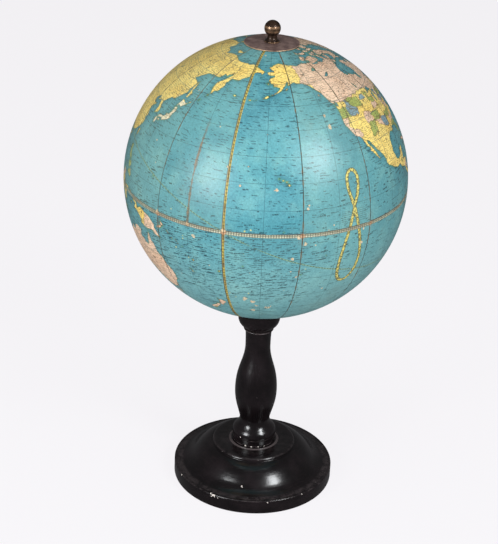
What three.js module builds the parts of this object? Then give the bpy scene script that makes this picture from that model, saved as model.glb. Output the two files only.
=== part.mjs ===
// Desktop globe on a turned wooden stand: a 12 inch paper-covered ball that turns on a steel rod.
// The rod clamps the stand together. The ball sits on a felt-lined cup, under a metal disc and a knob.
// Millimetres, +Z up. The origin is the centre of the resting face. The map's front faces -Y.
import * as THREE from "three";
import { mergeGeometries, mergeVertices } from "three/addons/utils/BufferGeometryUtils.js";

// Fits
const TOUCH = 0.3; // gap between two pieces that rest on each other
const RUNNING = 0.07; // radial clearance of the ball's bushes on the rod
const SNUG = 0.3; // radial clearance of glued joints and clamped pieces
const TURNED = 36; // facets round the wooden pieces and the disc
const FINE = 24; // facets round the small metal pieces

// Driving sizes
const BALL_D = 304.8;
const PAPER_T = 0.3;
const SHELL_T = 3.5;
const GORES = 12; // on each half of the ball
const GORE_FACETS = 4;
const LAT_FACETS = 9; // from the equator to a polar opening
const NORTH_OPENING_R = 27;
const SOUTH_OPENING_GAP = 1; // between the flange of the bush and the shell round it

const ROD_D = 6.35;
const NUT_FLATS = 11.1;
const NUT_H = 5.5;
const WASHER_D = 18;
const WASHER_T = 1.6;
const ROD_PAST_NUT = 2;

const FELT_T = 2;
const FELT_PROUD = 0.6; // how far the foot felt stands below the wood
const BASE_D = 183;
const RIM_H = 16.5;
const BOSS_R = 47.5;
const BOSS_H = 4.4; // above the top of the dome
const BASE_H = 45;
const RIM_LAND = 6; // level ground from the edge in to the foot of the dome
const BASE_WEB = 9.3; // wood between the mortise and the nut's pocket
const FOOT_FELT_MARGIN = 7;
const NUT_POCKET_GAP = 5; // round the washer, for a socket spanner
const NUT_POCKET_H = 10;

const STEM_L = 144.6; // what shows, from the boss to the cup
const PLINTH_R = 24.2;
const BELL_R = 25.1;
const WAIST_R = 17.2;
const BULGE_R = 24.1;
const NECK_R = 14.2;
const LIP_R = 16.9;
const LIP_H = 1.3;
const TENON_R = 12;
const SPIGOT_R = 8;

const CUP_R = 24;
const CUP_FOOT_R = 14;
const CUP_H = 29.6;
const CUP_DISH = 2; // how far the seat's middle lies below the top of the cup
const CUP_WEB = 6; // wood between the spigot and the nut's pocket
const CUP_POCKET_GAP = 3;
const CUP_NUT_HEADROOM = 4.3;
const SEAT_FELT_T = 1.6;

const BLOCK_H = 18;
const BLOCK_LAP = 13; // of a block under the shell, beyond the north opening
const BUSH_WALL = 1.6;
const BUSH_FLANGE_R = 11;
const BUSH_FLANGE_T = 1;
const TUBE_R = 11;
const TUBE_WALL = 3;
const TUBE_SEAT = 5;
const HOOP_H = 28;
const HOOP_T = 2.5;

const DISC_LAP = 2.2; // over the edge of the north opening
const DISC_T = 1;
const DISC_CROWN = 0.4;
const DISC_BROW = 6; // width of the sloping edge
const TOP_FELT_T = 1.1;
const KNOB_R = 8.6;
const KNOB_FOOT_R = 8.2;
const KNOB_COLLAR_R = 6.6;
const KNOB_NECK_R = 5.05;
const KNOB_H = 22.6;
const KNOB_THREAD_L = 11;

// Levels and radii that follow from them, from the table up
const rodR = ROD_D / 2;
const woodZ = FELT_PROUD; // underside of the base
const feltSeatZ = FELT_T + TOUCH; // ceiling of the felt's recess
const pocketTopZ = feltSeatZ + NUT_POCKET_H;
const basePocketR = WASHER_D / 2 + NUT_POCKET_GAP;
const bossZ = woodZ + BASE_H;
const mortiseZ = pocketTopZ + BASE_WEB;
const stemZ = bossZ + TOUCH;
const stemTopZ = stemZ + STEM_L;
const cupZ = stemTopZ + TOUCH;
const seatPoleZ = cupZ + CUP_H - CUP_DISH; // the seat's level on the axis, were it not bored
const nutStack = TOUCH + WASHER_T + TOUCH + NUT_H;
const cupPocketZ = seatPoleZ - CUP_NUT_HEADROOM - nutStack; // floor of the clamp nut's pocket
const cupPocketR = WASHER_D / 2 + CUP_POCKET_GAP;
const spigotTopZ = cupPocketZ - CUP_WEB - TOUCH;

const ballFacets = GORES * GORE_FACETS;
const ballR = BALL_D / 2;
const paperInR = ballR - PAPER_T;
const shellR = paperInR - TOUCH;
const shellInR = shellR - SHELL_T;
const centreZ = seatPoleZ + TOUCH + SEAT_FELT_T + TOUCH + ballR;
const southOpeningR = BUSH_FLANGE_R + SOUTH_OPENING_GAP;
const blockR = NORTH_OPENING_R + BLOCK_LAP;
const discR = NORTH_OPENING_R + DISC_LAP;
const discZ = centreZ + heightOnBall(ballR, NORTH_OPENING_R) + TOUCH;
const knobZ = discZ + DISC_T + DISC_CROWN + TOUCH;
const northFaceZ = discZ - TOUCH - TOP_FELT_T - TOUCH; // flat top of the north pole block
const rodTopZ = knobZ + KNOB_THREAD_L - TOUCH;

// Materials
const finish = (color, roughness, metalness = 0) =>
  new THREE.MeshStandardMaterial({ color, roughness, metalness });
const ebonised = finish(0x1b1718, 0.3);
const bareWood = finish(0xb98f5d, 0.75);
const board = finish(0x9a8566, 0.9);
const oceanPaper = finish(0x4fa0ae, 0.4);
const bronze = finish(0x4b3a31, 0.45, 0.8);
const brass = finish(0xb08d4a, 0.35, 1);
const steel = finish(0x8c8f92, 0.4, 1);
const felt = finish(0x24402f, 0.95);

const globe = new THREE.Group();

// Height above the ball's centre of a sphere of that radius, at a distance from the axis.
function heightOnBall(radius, fromAxis) {
  return Math.sqrt(radius * radius - fromAxis * fromAxis);
}

// Radius that a drawn circle needs so that the middles of its facets clear a shaft.
function boreRadius(shaft, clearance, facets = FINE) {
  return (shaft + clearance) / Math.cos(Math.PI / facets);
}

// A profile in (radius, height) points. Curved stretches come from the path's own curves.
function outline(draw, divisions = 4) {
  const path = new THREE.Path();
  draw(path);
  return path.getPoints(divisions);
}

// A turned piece: a closed profile swept round the Z axis.
function turned(name, points, material, facets = TURNED) {
  const profile = points.map((p) => new THREE.Vector2(p.x, p.y));
  if (profile[0].x > 0) profile.push(profile[0].clone());
  const mesh = new THREE.Mesh(new THREE.LatheGeometry(profile, facets), material);
  mesh.name = name;
  mesh.rotation.x = Math.PI / 2;
  globe.add(mesh);
  return mesh;
}

// A plain ring between two radii and two levels.
function ring(name, inner, outer, low, high, material, facets = TURNED) {
  const corners = [[inner, low], [outer, low], [outer, high], [inner, high]];
  return turned(name, corners.map(([x, y]) => ({ x, y })), material, facets);
}

// Points of one meridian of the ball, from the equator to a polar opening, as the facets have it.
function meridian(radius, openingR, side) {
  const last = Math.acos(openingR / radius);
  return Array.from({ length: LAT_FACETS + 1 }, (_, i) => {
    const a = (last * i) / LAT_FACETS;
    const above = Math.max(radius * Math.sin(a), TOUCH / 2);
    return new THREE.Vector2(radius * Math.cos(a), centreZ + side * above);
  });
}

// Level of a faceted meridian at a distance from the axis. Inside its opening it goes on level.
function levelOn(points, fromAxis) {
  const i = points.findIndex((p, n) => n > 0 && p.x <= fromAxis);
  if (i < 0) return points[points.length - 1].y;
  const [a, b] = [points[i - 1], points[i]];
  return b.y + ((a.y - b.y) * (fromAxis - b.x)) / (a.x - b.x);
}

// Section of a skin of the ball between two radii, on one side of the equator.
function skin(outerR, innerR, openingR, side) {
  const out = meridian(outerR, openingR, side);
  const back = meridian(innerR, openingR, side).reverse();
  const section = [...out, ...back];
  return side > 0 ? section : section.reverse();
}

// ---- Base: a turned disc with a domed top, a raised boss, a mortise, and a pocket for the rod's nut ----
function makeBase() {
  const edge = BASE_D / 2;
  const feltR = edge - FOOT_FELT_MARGIN;
  const rimZ = woodZ + RIM_H;
  const domeTopZ = bossZ - BOSS_H;
  const domeTopR = BOSS_R + 1.1;
  const domeFootZ = rimZ - 0.3;
  const domeFootR = edge - RIM_LAND;
  const boreR = boreRadius(rodR, SNUG);
  const mortiseR = TENON_R + SNUG;
  const span = domeFootR - domeTopR;
  const rise = domeTopZ - domeFootZ;
  const turnR = domeTopR + span * 0.553; // where the dome's round turns into the hollow at its foot
  const turnZ = domeFootZ + rise * 0.357;
  const points = outline((p) => {
    p.moveTo(boreR, pocketTopZ);
    p.lineTo(basePocketR, pocketTopZ);
    p.lineTo(basePocketR, feltSeatZ);
    p.lineTo(feltR, feltSeatZ);
    p.lineTo(feltR, woodZ);
    p.lineTo(edge - 1, woodZ);
    p.lineTo(edge, woodZ + 1);
    p.lineTo(edge, rimZ - 1.2);
    p.lineTo(edge - 1.2, rimZ);
    p.lineTo(edge - 3, rimZ);
    p.lineTo(edge - 3.6, domeFootZ);
    p.lineTo(domeFootR, domeFootZ);
    const [footX, footY] = [domeFootR - span * 0.176, domeFootZ + rise * 0.012];
    p.bezierCurveTo(footX, footY, turnR + span * 0.111, turnZ - rise * 0.205, turnR, turnZ);
    const [crestX, crestY] = [domeTopR + span * 0.241, domeTopZ - rise * 0.078];
    p.bezierCurveTo(turnR - span * 0.122, turnZ + rise * 0.225, crestX, crestY, domeTopR, domeTopZ);
    p.lineTo(BOSS_R + 0.3, domeTopZ + 0.5);
    p.lineTo(BOSS_R, bossZ - 2.6);
    p.quadraticCurveTo(BOSS_R - 0.1, bossZ - 1.1, BOSS_R - 1.7, bossZ - 0.8);
    p.lineTo(PLINTH_R + 3, bossZ);
    p.lineTo(mortiseR, bossZ);
    p.lineTo(mortiseR, mortiseZ);
    p.lineTo(boreR, mortiseZ);
  });
  turned("base", points, ebonised);
  ring("foot_felt", 0, feltR - TOUCH, 0, FELT_T, felt);
}

// ---- Stem: a turned baluster with a tenon below and a spigot above, bored for the rod ----
function makeStem() {
  const boreR = boreRadius(rodR, SNUG);
  const bellZ = stemZ + 7.7;
  const waistZ = stemZ + 28;
  const neckZ = stemTopZ - 24;
  const along = (share) => waistZ + (neckZ - waistZ) * share;
  const lipZ = stemTopZ - LIP_H;
  const swell = BULGE_R - NECK_R;
  const points = outline((p) => {
    p.moveTo(boreR, mortiseZ + TOUCH);
    p.lineTo(TENON_R, mortiseZ + TOUCH);
    p.lineTo(TENON_R, stemZ);
    p.lineTo(PLINTH_R, stemZ);
    p.lineTo(PLINTH_R, bellZ);
    p.lineTo(BELL_R, bellZ + 0.3);
    p.bezierCurveTo(BELL_R + 0.4, bellZ + 10, WAIST_R + 0.4, bellZ + 11, WAIST_R, waistZ);
    p.bezierCurveTo(WAIST_R + swell * 0.25, along(0.085), BULGE_R, along(0.212), BULGE_R, along(0.392));
    p.bezierCurveTo(BULGE_R, along(0.665), NECK_R + swell * 0.06, along(0.757), NECK_R, neckZ);
    p.bezierCurveTo(NECK_R, neckZ + 10, NECK_R + 0.4, lipZ - 5, NECK_R + 0.7, lipZ - 1.6);
    p.quadraticCurveTo(NECK_R + 0.9, lipZ - 0.2, LIP_R, lipZ);
    p.lineTo(LIP_R, stemTopZ);
    p.lineTo(SPIGOT_R, stemTopZ);
    p.lineTo(SPIGOT_R, spigotTopZ);
    p.lineTo(boreR, spigotTopZ);
  });
  turned("stem", points, ebonised);
}

// ---- Cup: a turned bowl, bored for the stem's spigot, with a dished and felt-lined seat for the ball ----
function makeCup() {
  const boreR = boreRadius(rodR, SNUG);
  const socketR = SPIGOT_R + SNUG;
  const ball = meridian(ballR, southOpeningR, -1);
  const feltTop = (r) => levelOn(ball, r) - TOUCH;
  const seat = (r) => feltTop(r) - SEAT_FELT_T - TOUCH;
  const rimR = CUP_R - 1.2;
  const points = outline((p) => {
    p.moveTo(socketR, cupZ);
    p.lineTo(CUP_FOOT_R, cupZ);
    p.bezierCurveTo(CUP_R - 3.2, cupZ + 4, CUP_R - 0.4, cupZ + 7.5, CUP_R - 0.3, cupZ + 14);
    p.lineTo(CUP_R, seat(CUP_R) - 1);
    p.lineTo(rimR, seat(rimR));
    p.lineTo(cupPocketR, seat(cupPocketR));
    p.lineTo(cupPocketR, cupPocketZ);
    p.lineTo(boreR, cupPocketZ);
    p.lineTo(boreR, spigotTopZ + TOUCH);
    p.lineTo(socketR, spigotTopZ + TOUCH);
  });
  turned("cup", points, ebonised);
  const [from, to] = [cupPocketR + 0.8, CUP_R - 2];
  const liner = [
    new THREE.Vector2(from, feltTop(from) - SEAT_FELT_T),
    new THREE.Vector2(to, feltTop(to) - SEAT_FELT_T),
    new THREE.Vector2(to, feltTop(to)),
    new THREE.Vector2(from, feltTop(from)),
  ];
  turned("seat_felt", liner, felt);
}

// ---- Fasteners of the stand: the rod, and a nut and washer at the base and in the cup ----
function hexNut(name, bottomZ) {
  const cornerR = NUT_FLATS / 2 / Math.cos(Math.PI / 6);
  const hexagon = new THREE.Shape(
    Array.from({ length: 6 }, (_, i) => {
      const a = (Math.PI / 3) * i;
      return new THREE.Vector2(cornerR * Math.cos(a), cornerR * Math.sin(a));
    }),
  );
  const hole = new THREE.Path();
  hole.absarc(0, 0, boreRadius(rodR, SNUG), 0, 2 * Math.PI, true);
  hexagon.holes.push(hole);
  const options = { depth: NUT_H, bevelEnabled: false, curveSegments: FINE };
  const mesh = new THREE.Mesh(new THREE.ExtrudeGeometry(hexagon, options), steel);
  mesh.name = name;
  mesh.position.z = bottomZ;
  globe.add(mesh);
}

function makeFasteners() {
  const holeR = boreRadius(rodR, SNUG);
  const baseWasherZ = pocketTopZ - TOUCH - WASHER_T;
  const baseNutZ = baseWasherZ - TOUCH - NUT_H;
  ring("base_washer", holeR, WASHER_D / 2, baseWasherZ, baseWasherZ + WASHER_T, steel, FINE);
  hexNut("base_nut", baseNutZ);
  const cupWasherZ = cupPocketZ + TOUCH;
  ring("cup_washer", holeR, WASHER_D / 2, cupWasherZ, cupWasherZ + WASHER_T, steel, FINE);
  hexNut("cup_nut", cupWasherZ + WASHER_T + TOUCH);
  const low = baseNutZ - ROD_PAST_NUT;
  const rod = outline((p) => {
    p.moveTo(0, low);
    p.lineTo(rodR - 0.6, low);
    p.lineTo(rodR, low + 0.6);
    p.lineTo(rodR, rodTopZ - 0.6);
    p.lineTo(rodR - 0.6, rodTopZ);
    p.lineTo(0, rodTopZ);
  });
  turned("rod", rod, steel, FINE);
}

// ---- Ball: two pressed shells on a hoop, and at each pole a block and a bush, with a tube between ----
function makeBall() {
  turned("shell_north", skin(shellR, shellInR, NORTH_OPENING_R, 1), board, ballFacets);
  turned("shell_south", skin(shellR, shellInR, southOpeningR, -1), board, ballFacets);

  const inside = meridian(shellInR, NORTH_OPENING_R, 1);
  const levels = [-HOOP_H / 2, 0, HOOP_H / 2];
  const wallAt = (z) => {
    const i = inside.findIndex((p) => p.y - centreZ >= Math.abs(z));
    if (i < 1) return inside[0].x;
    const [a, b] = [inside[i - 1], inside[i]];
    return a.x + ((b.x - a.x) * (Math.abs(z) - (a.y - centreZ))) / (b.y - a.y);
  };
  const outer = levels.map((z) => new THREE.Vector2(wallAt(z) - TOUCH, centreZ + z));
  const innerR = outer[0].x - HOOP_T;
  const inner = [HOOP_H / 2, -HOOP_H / 2].map((z) => new THREE.Vector2(innerR, centreZ + z));
  turned("equator_hoop", [...outer, ...inner], board, ballFacets);

  const boreR = boreRadius(rodR, RUNNING);
  const bushR = boreR + BUSH_WALL;
  const blockBoreR = boreRadius(bushR, SNUG);
  const seatR = TUBE_R + SNUG;

  // North block: a plug that fills the opening, with a flange glued under the shell.
  const plugR = NORTH_OPENING_R - SNUG;
  const flangeTop = (r) => levelOn(inside, r) - TOUCH;
  const northInZ = northFaceZ - BLOCK_H;
  const northBlock = [
    [blockBoreR, northInZ + TUBE_SEAT], [seatR, northInZ + TUBE_SEAT], [seatR, northInZ],
    [blockR, northInZ], [blockR, flangeTop(blockR)], [plugR, flangeTop(NORTH_OPENING_R)],
    [plugR, northFaceZ], [blockBoreR, northFaceZ],
  ];
  turned("pole_block_north", northBlock.map(([x, y]) => ({ x, y })), bareWood);

  // South block: a disc glued inside the shell, round the smaller opening.
  const southWall = meridian(shellInR, southOpeningR, -1);
  const southTop = (r) => levelOn(southWall, r) + TOUCH;
  const southFaceZ = southTop(southOpeningR);
  const southInZ = southFaceZ + BLOCK_H;
  const southBlock = [
    [blockBoreR, southFaceZ], [southOpeningR, southFaceZ], [blockR, southTop(blockR)],
    [blockR, southInZ], [seatR, southInZ], [seatR, southInZ - TUBE_SEAT],
    [blockBoreR, southInZ - TUBE_SEAT],
  ];
  turned("pole_block_south", southBlock.map(([x, y]) => ({ x, y })), bareWood);

  bush("pole_bush_north", boreR, bushR, northFaceZ, -1);
  bush("pole_bush_south", boreR, bushR, southFaceZ, 1);
  const tubeLow = southInZ - TUBE_SEAT + TOUCH;
  const tubeHigh = northInZ + TUBE_SEAT - TOUCH;
  ring("core_tube", TUBE_R - TUBE_WALL, TUBE_R, tubeLow, tubeHigh, board, FINE);
}

// A flanged bush pressed into a pole block from outside. inward is the way it goes in, up or down.
function bush(name, boreR, bushR, faceZ, inward) {
  const flangeIn = faceZ - inward * TOUCH;
  const flangeOut = flangeIn - inward * BUSH_FLANGE_T;
  const tip = faceZ + inward * (BLOCK_H - TUBE_SEAT - 2);
  const section = [
    [boreR, flangeOut], [BUSH_FLANGE_R, flangeOut], [BUSH_FLANGE_R, flangeIn],
    [bushR, flangeIn], [bushR, tip], [boreR, tip],
  ];
  if (inward < 0) section.reverse();
  turned(name, section.map(([x, y]) => ({ x, y })), brass, FINE);
}

// ---- Gores: twelve printed paper lunes on each half of the ball ----
function gore(name, middle, side, openingR) {
  const half = Math.PI / GORES;
  const section = skin(ballR, paperInR, openingR, side);
  const closed = [...section, section[0].clone()];
  const wall = new THREE.LatheGeometry(closed, GORE_FACETS, -half, 2 * half);
  const face = new THREE.ShapeGeometry(new THREE.Shape(section));
  const ends = [-half, half].map((angle) => {
    const end = face.clone().rotateY(angle - Math.PI / 2);
    return angle > 0 ? flipped(end) : end;
  });
  const whole = mergeGeometries([wall, ...ends].map(bare));
  narrow(whole, half);
  const mesh = new THREE.Mesh(mergeVertices(whole, 1e-3), oceanPaper);
  mesh.name = name;
  mesh.rotation.set(Math.PI / 2, middle, 0, "XYZ");
  globe.add(mesh);
}

// Only the positions of a geometry, so that shared vertices can be merged.
function bare(geometry) {
  const plain = geometry.index ? geometry.toNonIndexed() : geometry.clone();
  plain.deleteAttribute("normal");
  plain.deleteAttribute("uv");
  return plain;
}

// The same triangles, facing the other way.
function flipped(geometry) {
  const index = geometry.index.array;
  for (let i = 0; i < index.length; i += 3) [index[i + 1], index[i + 2]] = [index[i + 2], index[i + 1]];
  return geometry;
}

// Draws a lune's two sides in, so that neighbours stay the same small distance apart from equator to pole.
function narrow(geometry, half) {
  const at = geometry.attributes.position;
  for (let i = 0; i < at.count; i++) {
    const [x, z] = [at.getX(i), at.getZ(i)];
    const r = Math.hypot(x, z);
    const angle = Math.atan2(x, z) * (1 - TOUCH / 2 / (r * half));
    at.setXYZ(i, r * Math.sin(angle), at.getY(i), r * Math.cos(angle));
  }
}

function makeGores() {
  for (let i = 0; i < GORES; i++) {
    const middle = (2 * Math.PI * i) / GORES;
    const number = String(i + 1).padStart(2, "0");
    gore("gore_north_" + number, middle, 1, NORTH_OPENING_R);
    gore("gore_south_" + number, middle, -1, southOpeningR);
  }
}

// ---- Top: a felt ring and a metal disc over the north opening, and the knob that screws onto the rod ----
function makeTop() {
  const boreR = boreRadius(rodR, SNUG);
  const feltZ = northFaceZ + TOUCH;
  ring("top_felt", BUSH_FLANGE_R + 1, NORTH_OPENING_R - 2, feltZ, feltZ + TOP_FELT_T, felt);
  const disc = outline((p) => {
    p.moveTo(boreR, discZ + DISC_CROWN);
    p.lineTo(discR - DISC_BROW, discZ + DISC_CROWN);
    p.lineTo(discR, discZ);
    p.lineTo(discR, discZ + DISC_T - 0.2);
    p.lineTo(discR - 0.3, discZ + DISC_T);
    p.lineTo(discR - DISC_BROW, discZ + DISC_T + DISC_CROWN);
    p.lineTo(boreR, discZ + DISC_T + DISC_CROWN);
  });
  turned("polar_disc", disc, bronze);

  const ballKnobZ = knobZ + KNOB_H - KNOB_R;
  const footTopZ = knobZ + 1.4;
  const collarZ = footTopZ + 1.1;
  const threadTopZ = knobZ + KNOB_THREAD_L;
  const neck = Math.asin(KNOB_NECK_R / KNOB_R) - Math.PI / 2 + 0.15; // where the neck meets the round
  const knob = outline((p) => {
    p.moveTo(boreR, knobZ);
    p.lineTo(KNOB_FOOT_R, knobZ);
    p.lineTo(KNOB_FOOT_R, footTopZ - 0.4);
    p.lineTo(KNOB_COLLAR_R, footTopZ);
    p.lineTo(KNOB_COLLAR_R, collarZ);
    p.quadraticCurveTo(KNOB_NECK_R, collarZ + 0.4, KNOB_NECK_R, collarZ + 2.6);
    p.lineTo(KNOB_R * Math.cos(neck), ballKnobZ + KNOB_R * Math.sin(neck));
    p.absarc(0, ballKnobZ, KNOB_R, neck, Math.PI / 2, false);
    p.lineTo(0, threadTopZ);
    p.lineTo(boreR, threadTopZ);
  });
  const top = knob.find((point) => point.y > rodTopZ && point.x < TOUCH / 2);
  top.x = 0; // the arc's end, exactly on the axis
  turned("knob", knob, bronze, FINE);
}

makeBase();
makeStem();
makeCup();
makeFasteners();
makeBall();
makeGores();
makeTop();

export default globe;
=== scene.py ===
"""A desktop globe of the middle of the last century, on a turned and ebonised stand. Metres, +Z up."""
import bmesh
import bpy
import math
import numpy as np
from mathutils import Matrix, Vector


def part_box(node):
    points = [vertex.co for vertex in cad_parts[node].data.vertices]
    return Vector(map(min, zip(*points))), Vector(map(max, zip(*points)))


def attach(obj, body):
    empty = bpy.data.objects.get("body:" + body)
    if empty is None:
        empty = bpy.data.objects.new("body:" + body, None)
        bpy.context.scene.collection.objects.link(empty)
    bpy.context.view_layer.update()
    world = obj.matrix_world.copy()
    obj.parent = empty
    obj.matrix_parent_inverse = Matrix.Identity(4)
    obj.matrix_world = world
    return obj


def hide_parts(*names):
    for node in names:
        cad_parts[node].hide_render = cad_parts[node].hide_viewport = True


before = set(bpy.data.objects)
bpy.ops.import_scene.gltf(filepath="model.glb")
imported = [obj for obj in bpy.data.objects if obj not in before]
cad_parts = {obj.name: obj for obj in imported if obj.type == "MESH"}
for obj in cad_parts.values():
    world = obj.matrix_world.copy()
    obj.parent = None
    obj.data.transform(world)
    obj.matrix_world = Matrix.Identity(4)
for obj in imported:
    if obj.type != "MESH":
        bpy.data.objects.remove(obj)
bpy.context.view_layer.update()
ball_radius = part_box("gore_north_04")[1][0]
equator_height = (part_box("gore_north_01")[0][2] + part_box("gore_south_01")[1][2]) / 2

# ---- Table, light and camera ------------------------------------------------------------------
# The globe stands on a wide white sheet with a white wall far round it, in a dark room. Two soft
# boxes, left and right of the camera, make the highlights, and two more only fill the shadows.


def put(tree, socket, value):
    """Links a socket's value, or sets it as it is."""
    if isinstance(value, bpy.types.NodeSocket):
        tree.links.new(value, socket)
    else:
        socket.default_value = value


def ink(red, green, blue):
    """A colour as a screen shows it, 0 to 255, in the linear values that a shader takes."""
    shares = [c / 255 for c in (red, green, blue)]
    return [s / 12.92 if s <= 0.04045 else ((s + 0.055) / 1.055) ** 2.4 for s in shares] + [1]


def finish_of(name, roughness, metallic=0.0):
    """A new material with its tree and its shader."""
    material = bpy.data.materials.new(name)
    material.use_nodes = True
    shader = material.node_tree.nodes["Principled BSDF"]
    shader.inputs["Roughness"].default_value = roughness
    shader.inputs["Metallic"].default_value = metallic
    return material, material.node_tree, shader


def aimed(place, target):
    """A matrix that puts a lamp at a place and turns it to a target."""
    turn = (Vector(target) - Vector(place)).to_track_quat("-Z", "Y")
    return Matrix.Translation(place) @ turn.to_matrix().to_4x4()


SHEET_RADIUS = 30.0
SHEET_LEVEL = -0.0003
SIDES = 64
WALL_HEIGHT = 25.0
round_sheet = [
    (math.cos(turn) * SHEET_RADIUS, math.sin(turn) * SHEET_RADIUS, SHEET_LEVEL)
    for turn in (math.tau * i / SIDES for i in range(SIDES))
]
wall_top = [(x, y, WALL_HEIGHT) for x, y, _ in round_sheet]
wall_faces = [((i + 1) % SIDES, i, SIDES + i, SIDES + (i + 1) % SIDES) for i in range(SIDES)]
for name, corners, faces, grey, glow in (
    ("white_sheet", round_sheet, [tuple(range(SIDES))], 70, 0.95),
    ("white_wall", round_sheet + wall_top, wall_faces, 0, 0.97),
):
    mesh = bpy.data.meshes.new(name)
    mesh.from_pydata(corners, [], faces)
    card, _, card_shader = finish_of(name, 0.9)
    card_shader.inputs["Base Color"].default_value = ink(grey, grey, grey)
    card_shader.inputs["Specular IOR Level"].default_value = 0.0
    card_shader.inputs["Emission Color"].default_value = ink(245, 243, 246)
    card_shader.inputs["Emission Strength"].default_value = glow
    mesh.materials.append(card)
    sheet = bpy.data.objects.new(name, mesh)
    sheet.visible_glossy = False
    sheet.visible_diffuse = name == "white_sheet"
    bpy.context.scene.collection.objects.link(sheet)

room = bpy.data.worlds.new("dark_room")
room.use_nodes = True
room.node_tree.nodes["Background"].inputs["Color"].default_value = ink(252, 251, 255)
room.node_tree.nodes["Background"].inputs["Strength"].default_value = 0.11
bpy.context.scene.world = room
bpy.context.scene.view_settings.view_transform = "Standard"

ball_centre = Vector((0, 0, equator_height))


def soft_box(name, azimuth, elevation, distance, width, height, power, mirrored=True):
    """A rectangular lamp, placed by its angles from the ball: azimuth from the front, to the right.
    One that isn't mirrored lights the globe, but makes no highlight in a gloss."""
    across, up = math.radians(azimuth), math.radians(elevation)
    way = Vector((math.sin(across) * math.cos(up), -math.cos(across) * math.cos(up), math.sin(up)))
    lamp = bpy.data.lights.new(name, "AREA")
    lamp.shape = "RECTANGLE"
    lamp.size, lamp.size_y = width, height
    lamp.energy = power
    lamp.color = (0.95, 0.98, 1.0)
    holder = bpy.data.objects.new(name, lamp)
    holder.matrix_world = aimed(ball_centre + way * distance, ball_centre)
    holder.visible_glossy = mirrored
    holder.visible_camera = False
    bpy.context.scene.collection.objects.link(holder)


soft_box("left_soft_box", -44, 16, 1.9, 0.62, 0.9, 24)
soft_box("right_soft_box", 46, 31, 1.9, 0.5, 0.7, 24)
soft_box("front_fill", 0, 5, 2.6, 2.4, 0.5, 50, False)
soft_box("top_fill", -10, 68, 2.2, 1.6, 1.6, 25, False)


def tilted(first, second, angle):
    """Two directions at right angles, turned towards each other's place by an angle."""
    near, far = math.cos(angle), math.sin(angle)
    return first * near + second * far, second * near - first * far


VIEW_DISTANCE = 1.7005
VIEW_DOWN = math.radians(22.64)
VIEW_YAW, VIEW_PITCH, VIEW_ROLL = -0.0078, -0.0604, 0.0459
eye = Vector((0, -math.cos(VIEW_DOWN), math.sin(VIEW_DOWN))) * VIEW_DISTANCE
ahead = -eye.normalized()
right = Vector((1, 0, 0))
up = right.cross(ahead)
ahead, right = tilted(ahead, right, VIEW_YAW)
ahead, up = tilted(ahead, up, VIEW_PITCH)
right, up = tilted(right, up, VIEW_ROLL)
lens = bpy.data.cameras.new("camera")
lens.sensor_width = 36
lens.lens = 104.5
lens.clip_end = 200
camera = bpy.data.objects.new("camera", lens)
facing = Matrix((right, up, -ahead)).transposed().to_4x4()
camera.matrix_world = Matrix.Translation(ball_centre + eye) @ facing
bpy.context.scene.collection.objects.link(camera)
bpy.context.scene.camera = camera

# ---- Base -------------------------------------------------------------------------------------
# A disc of close-grained wood, turned on a faceplate: a plain rim, a domed top, a cove and a raised
# boss with a mortise for the stem. It is stained black and lacquered, and worn brown on its edges,
# where the paler colour is also a painted highlight along each turned edge.


def linked(name, mesh, materials):
    """A new object at the origin, made of that mesh and those materials."""
    for material in materials:
        mesh.materials.append(material)
    piece = bpy.data.objects.new(name, mesh)
    bpy.context.scene.collection.objects.link(piece)
    return piece


def arc(centre, radius, start, end, steps=10):
    """Points on an arc of a profile, in (radius, height). The angles are in degrees."""
    angles = [math.radians(start + (end - start) * i / steps) for i in range(steps + 1)]
    return [(centre[0] + radius * math.cos(a), centre[1] + radius * math.sin(a)) for a in angles]


def sweep(first, second, third, fourth, steps=16):
    """Points on a smooth bend of a profile, from the first point to the fourth."""
    shares = [i / steps for i in range(steps + 1)]
    return [
        tuple(
            a * (1 - t) ** 3 + 3 * b * t * (1 - t) ** 2 + 3 * c * t * t * (1 - t) + d * t**3
            for a, b, c, d in zip(first, second, third, fourth)
        )
        for t in shares
    ]


def turned(name, profile, materials, around=160):
    """A piece turned on the lathe: a closed profile in (radius, height) swept round the upright axis."""
    points = [p for i, p in enumerate(profile) if i == 0 or math.dist(p, profile[i - 1]) > 1e-6]
    on_axis = points[0][0] < 1e-9
    count = len(points)
    vertices = [
        (r * math.cos(math.tau * k / around), r * math.sin(math.tau * k / around), z)
        for k in range(around)
        for r, z in points
    ]
    rows = count - 1 if on_axis else count
    faces = []
    for k in range(around):
        near, far = k * count, (k + 1) % around * count
        for i in range(rows):
            upper = (i + 1) % count
            faces.append((near + i, far + i, far + upper, near + upper))
    mesh = bpy.data.meshes.new(name)
    mesh.from_pydata(vertices, [], faces)
    shape = bmesh.new()
    shape.from_mesh(mesh)
    bmesh.ops.remove_doubles(shape, verts=shape.verts, dist=1e-7)
    bmesh.ops.recalc_face_normals(shape, faces=shape.faces)
    sharp = math.radians(38)
    for edge in shape.edges:
        edge.smooth = edge.calc_face_angle(0) < sharp
    shape.to_mesh(mesh)
    shape.free()
    mesh.polygons.foreach_set("use_smooth", [True] * len(mesh.polygons))
    return linked(name, mesh, materials)


def op(tree, operation, *values):
    """One sum on numbers, as a shader node."""
    node = tree.nodes.new("ShaderNodeMath")
    node.operation = operation
    for socket, value in zip(node.inputs, values):
        put(tree, socket, value)
    return node.outputs[0]


def times(tree, first, *others):
    """The product of several numbers."""
    for other in others:
        first = op(tree, "MULTIPLY", first, other)
    return first


def either(tree, first, *others):
    """The largest of several numbers."""
    for other in others:
        first = op(tree, "MAXIMUM", first, other)
    return first


def away_from(tree, value, at):
    """How far a number is from a value, up or down."""
    return op(tree, "ABSOLUTE", op(tree, "SUBTRACT", value, at))


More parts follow.
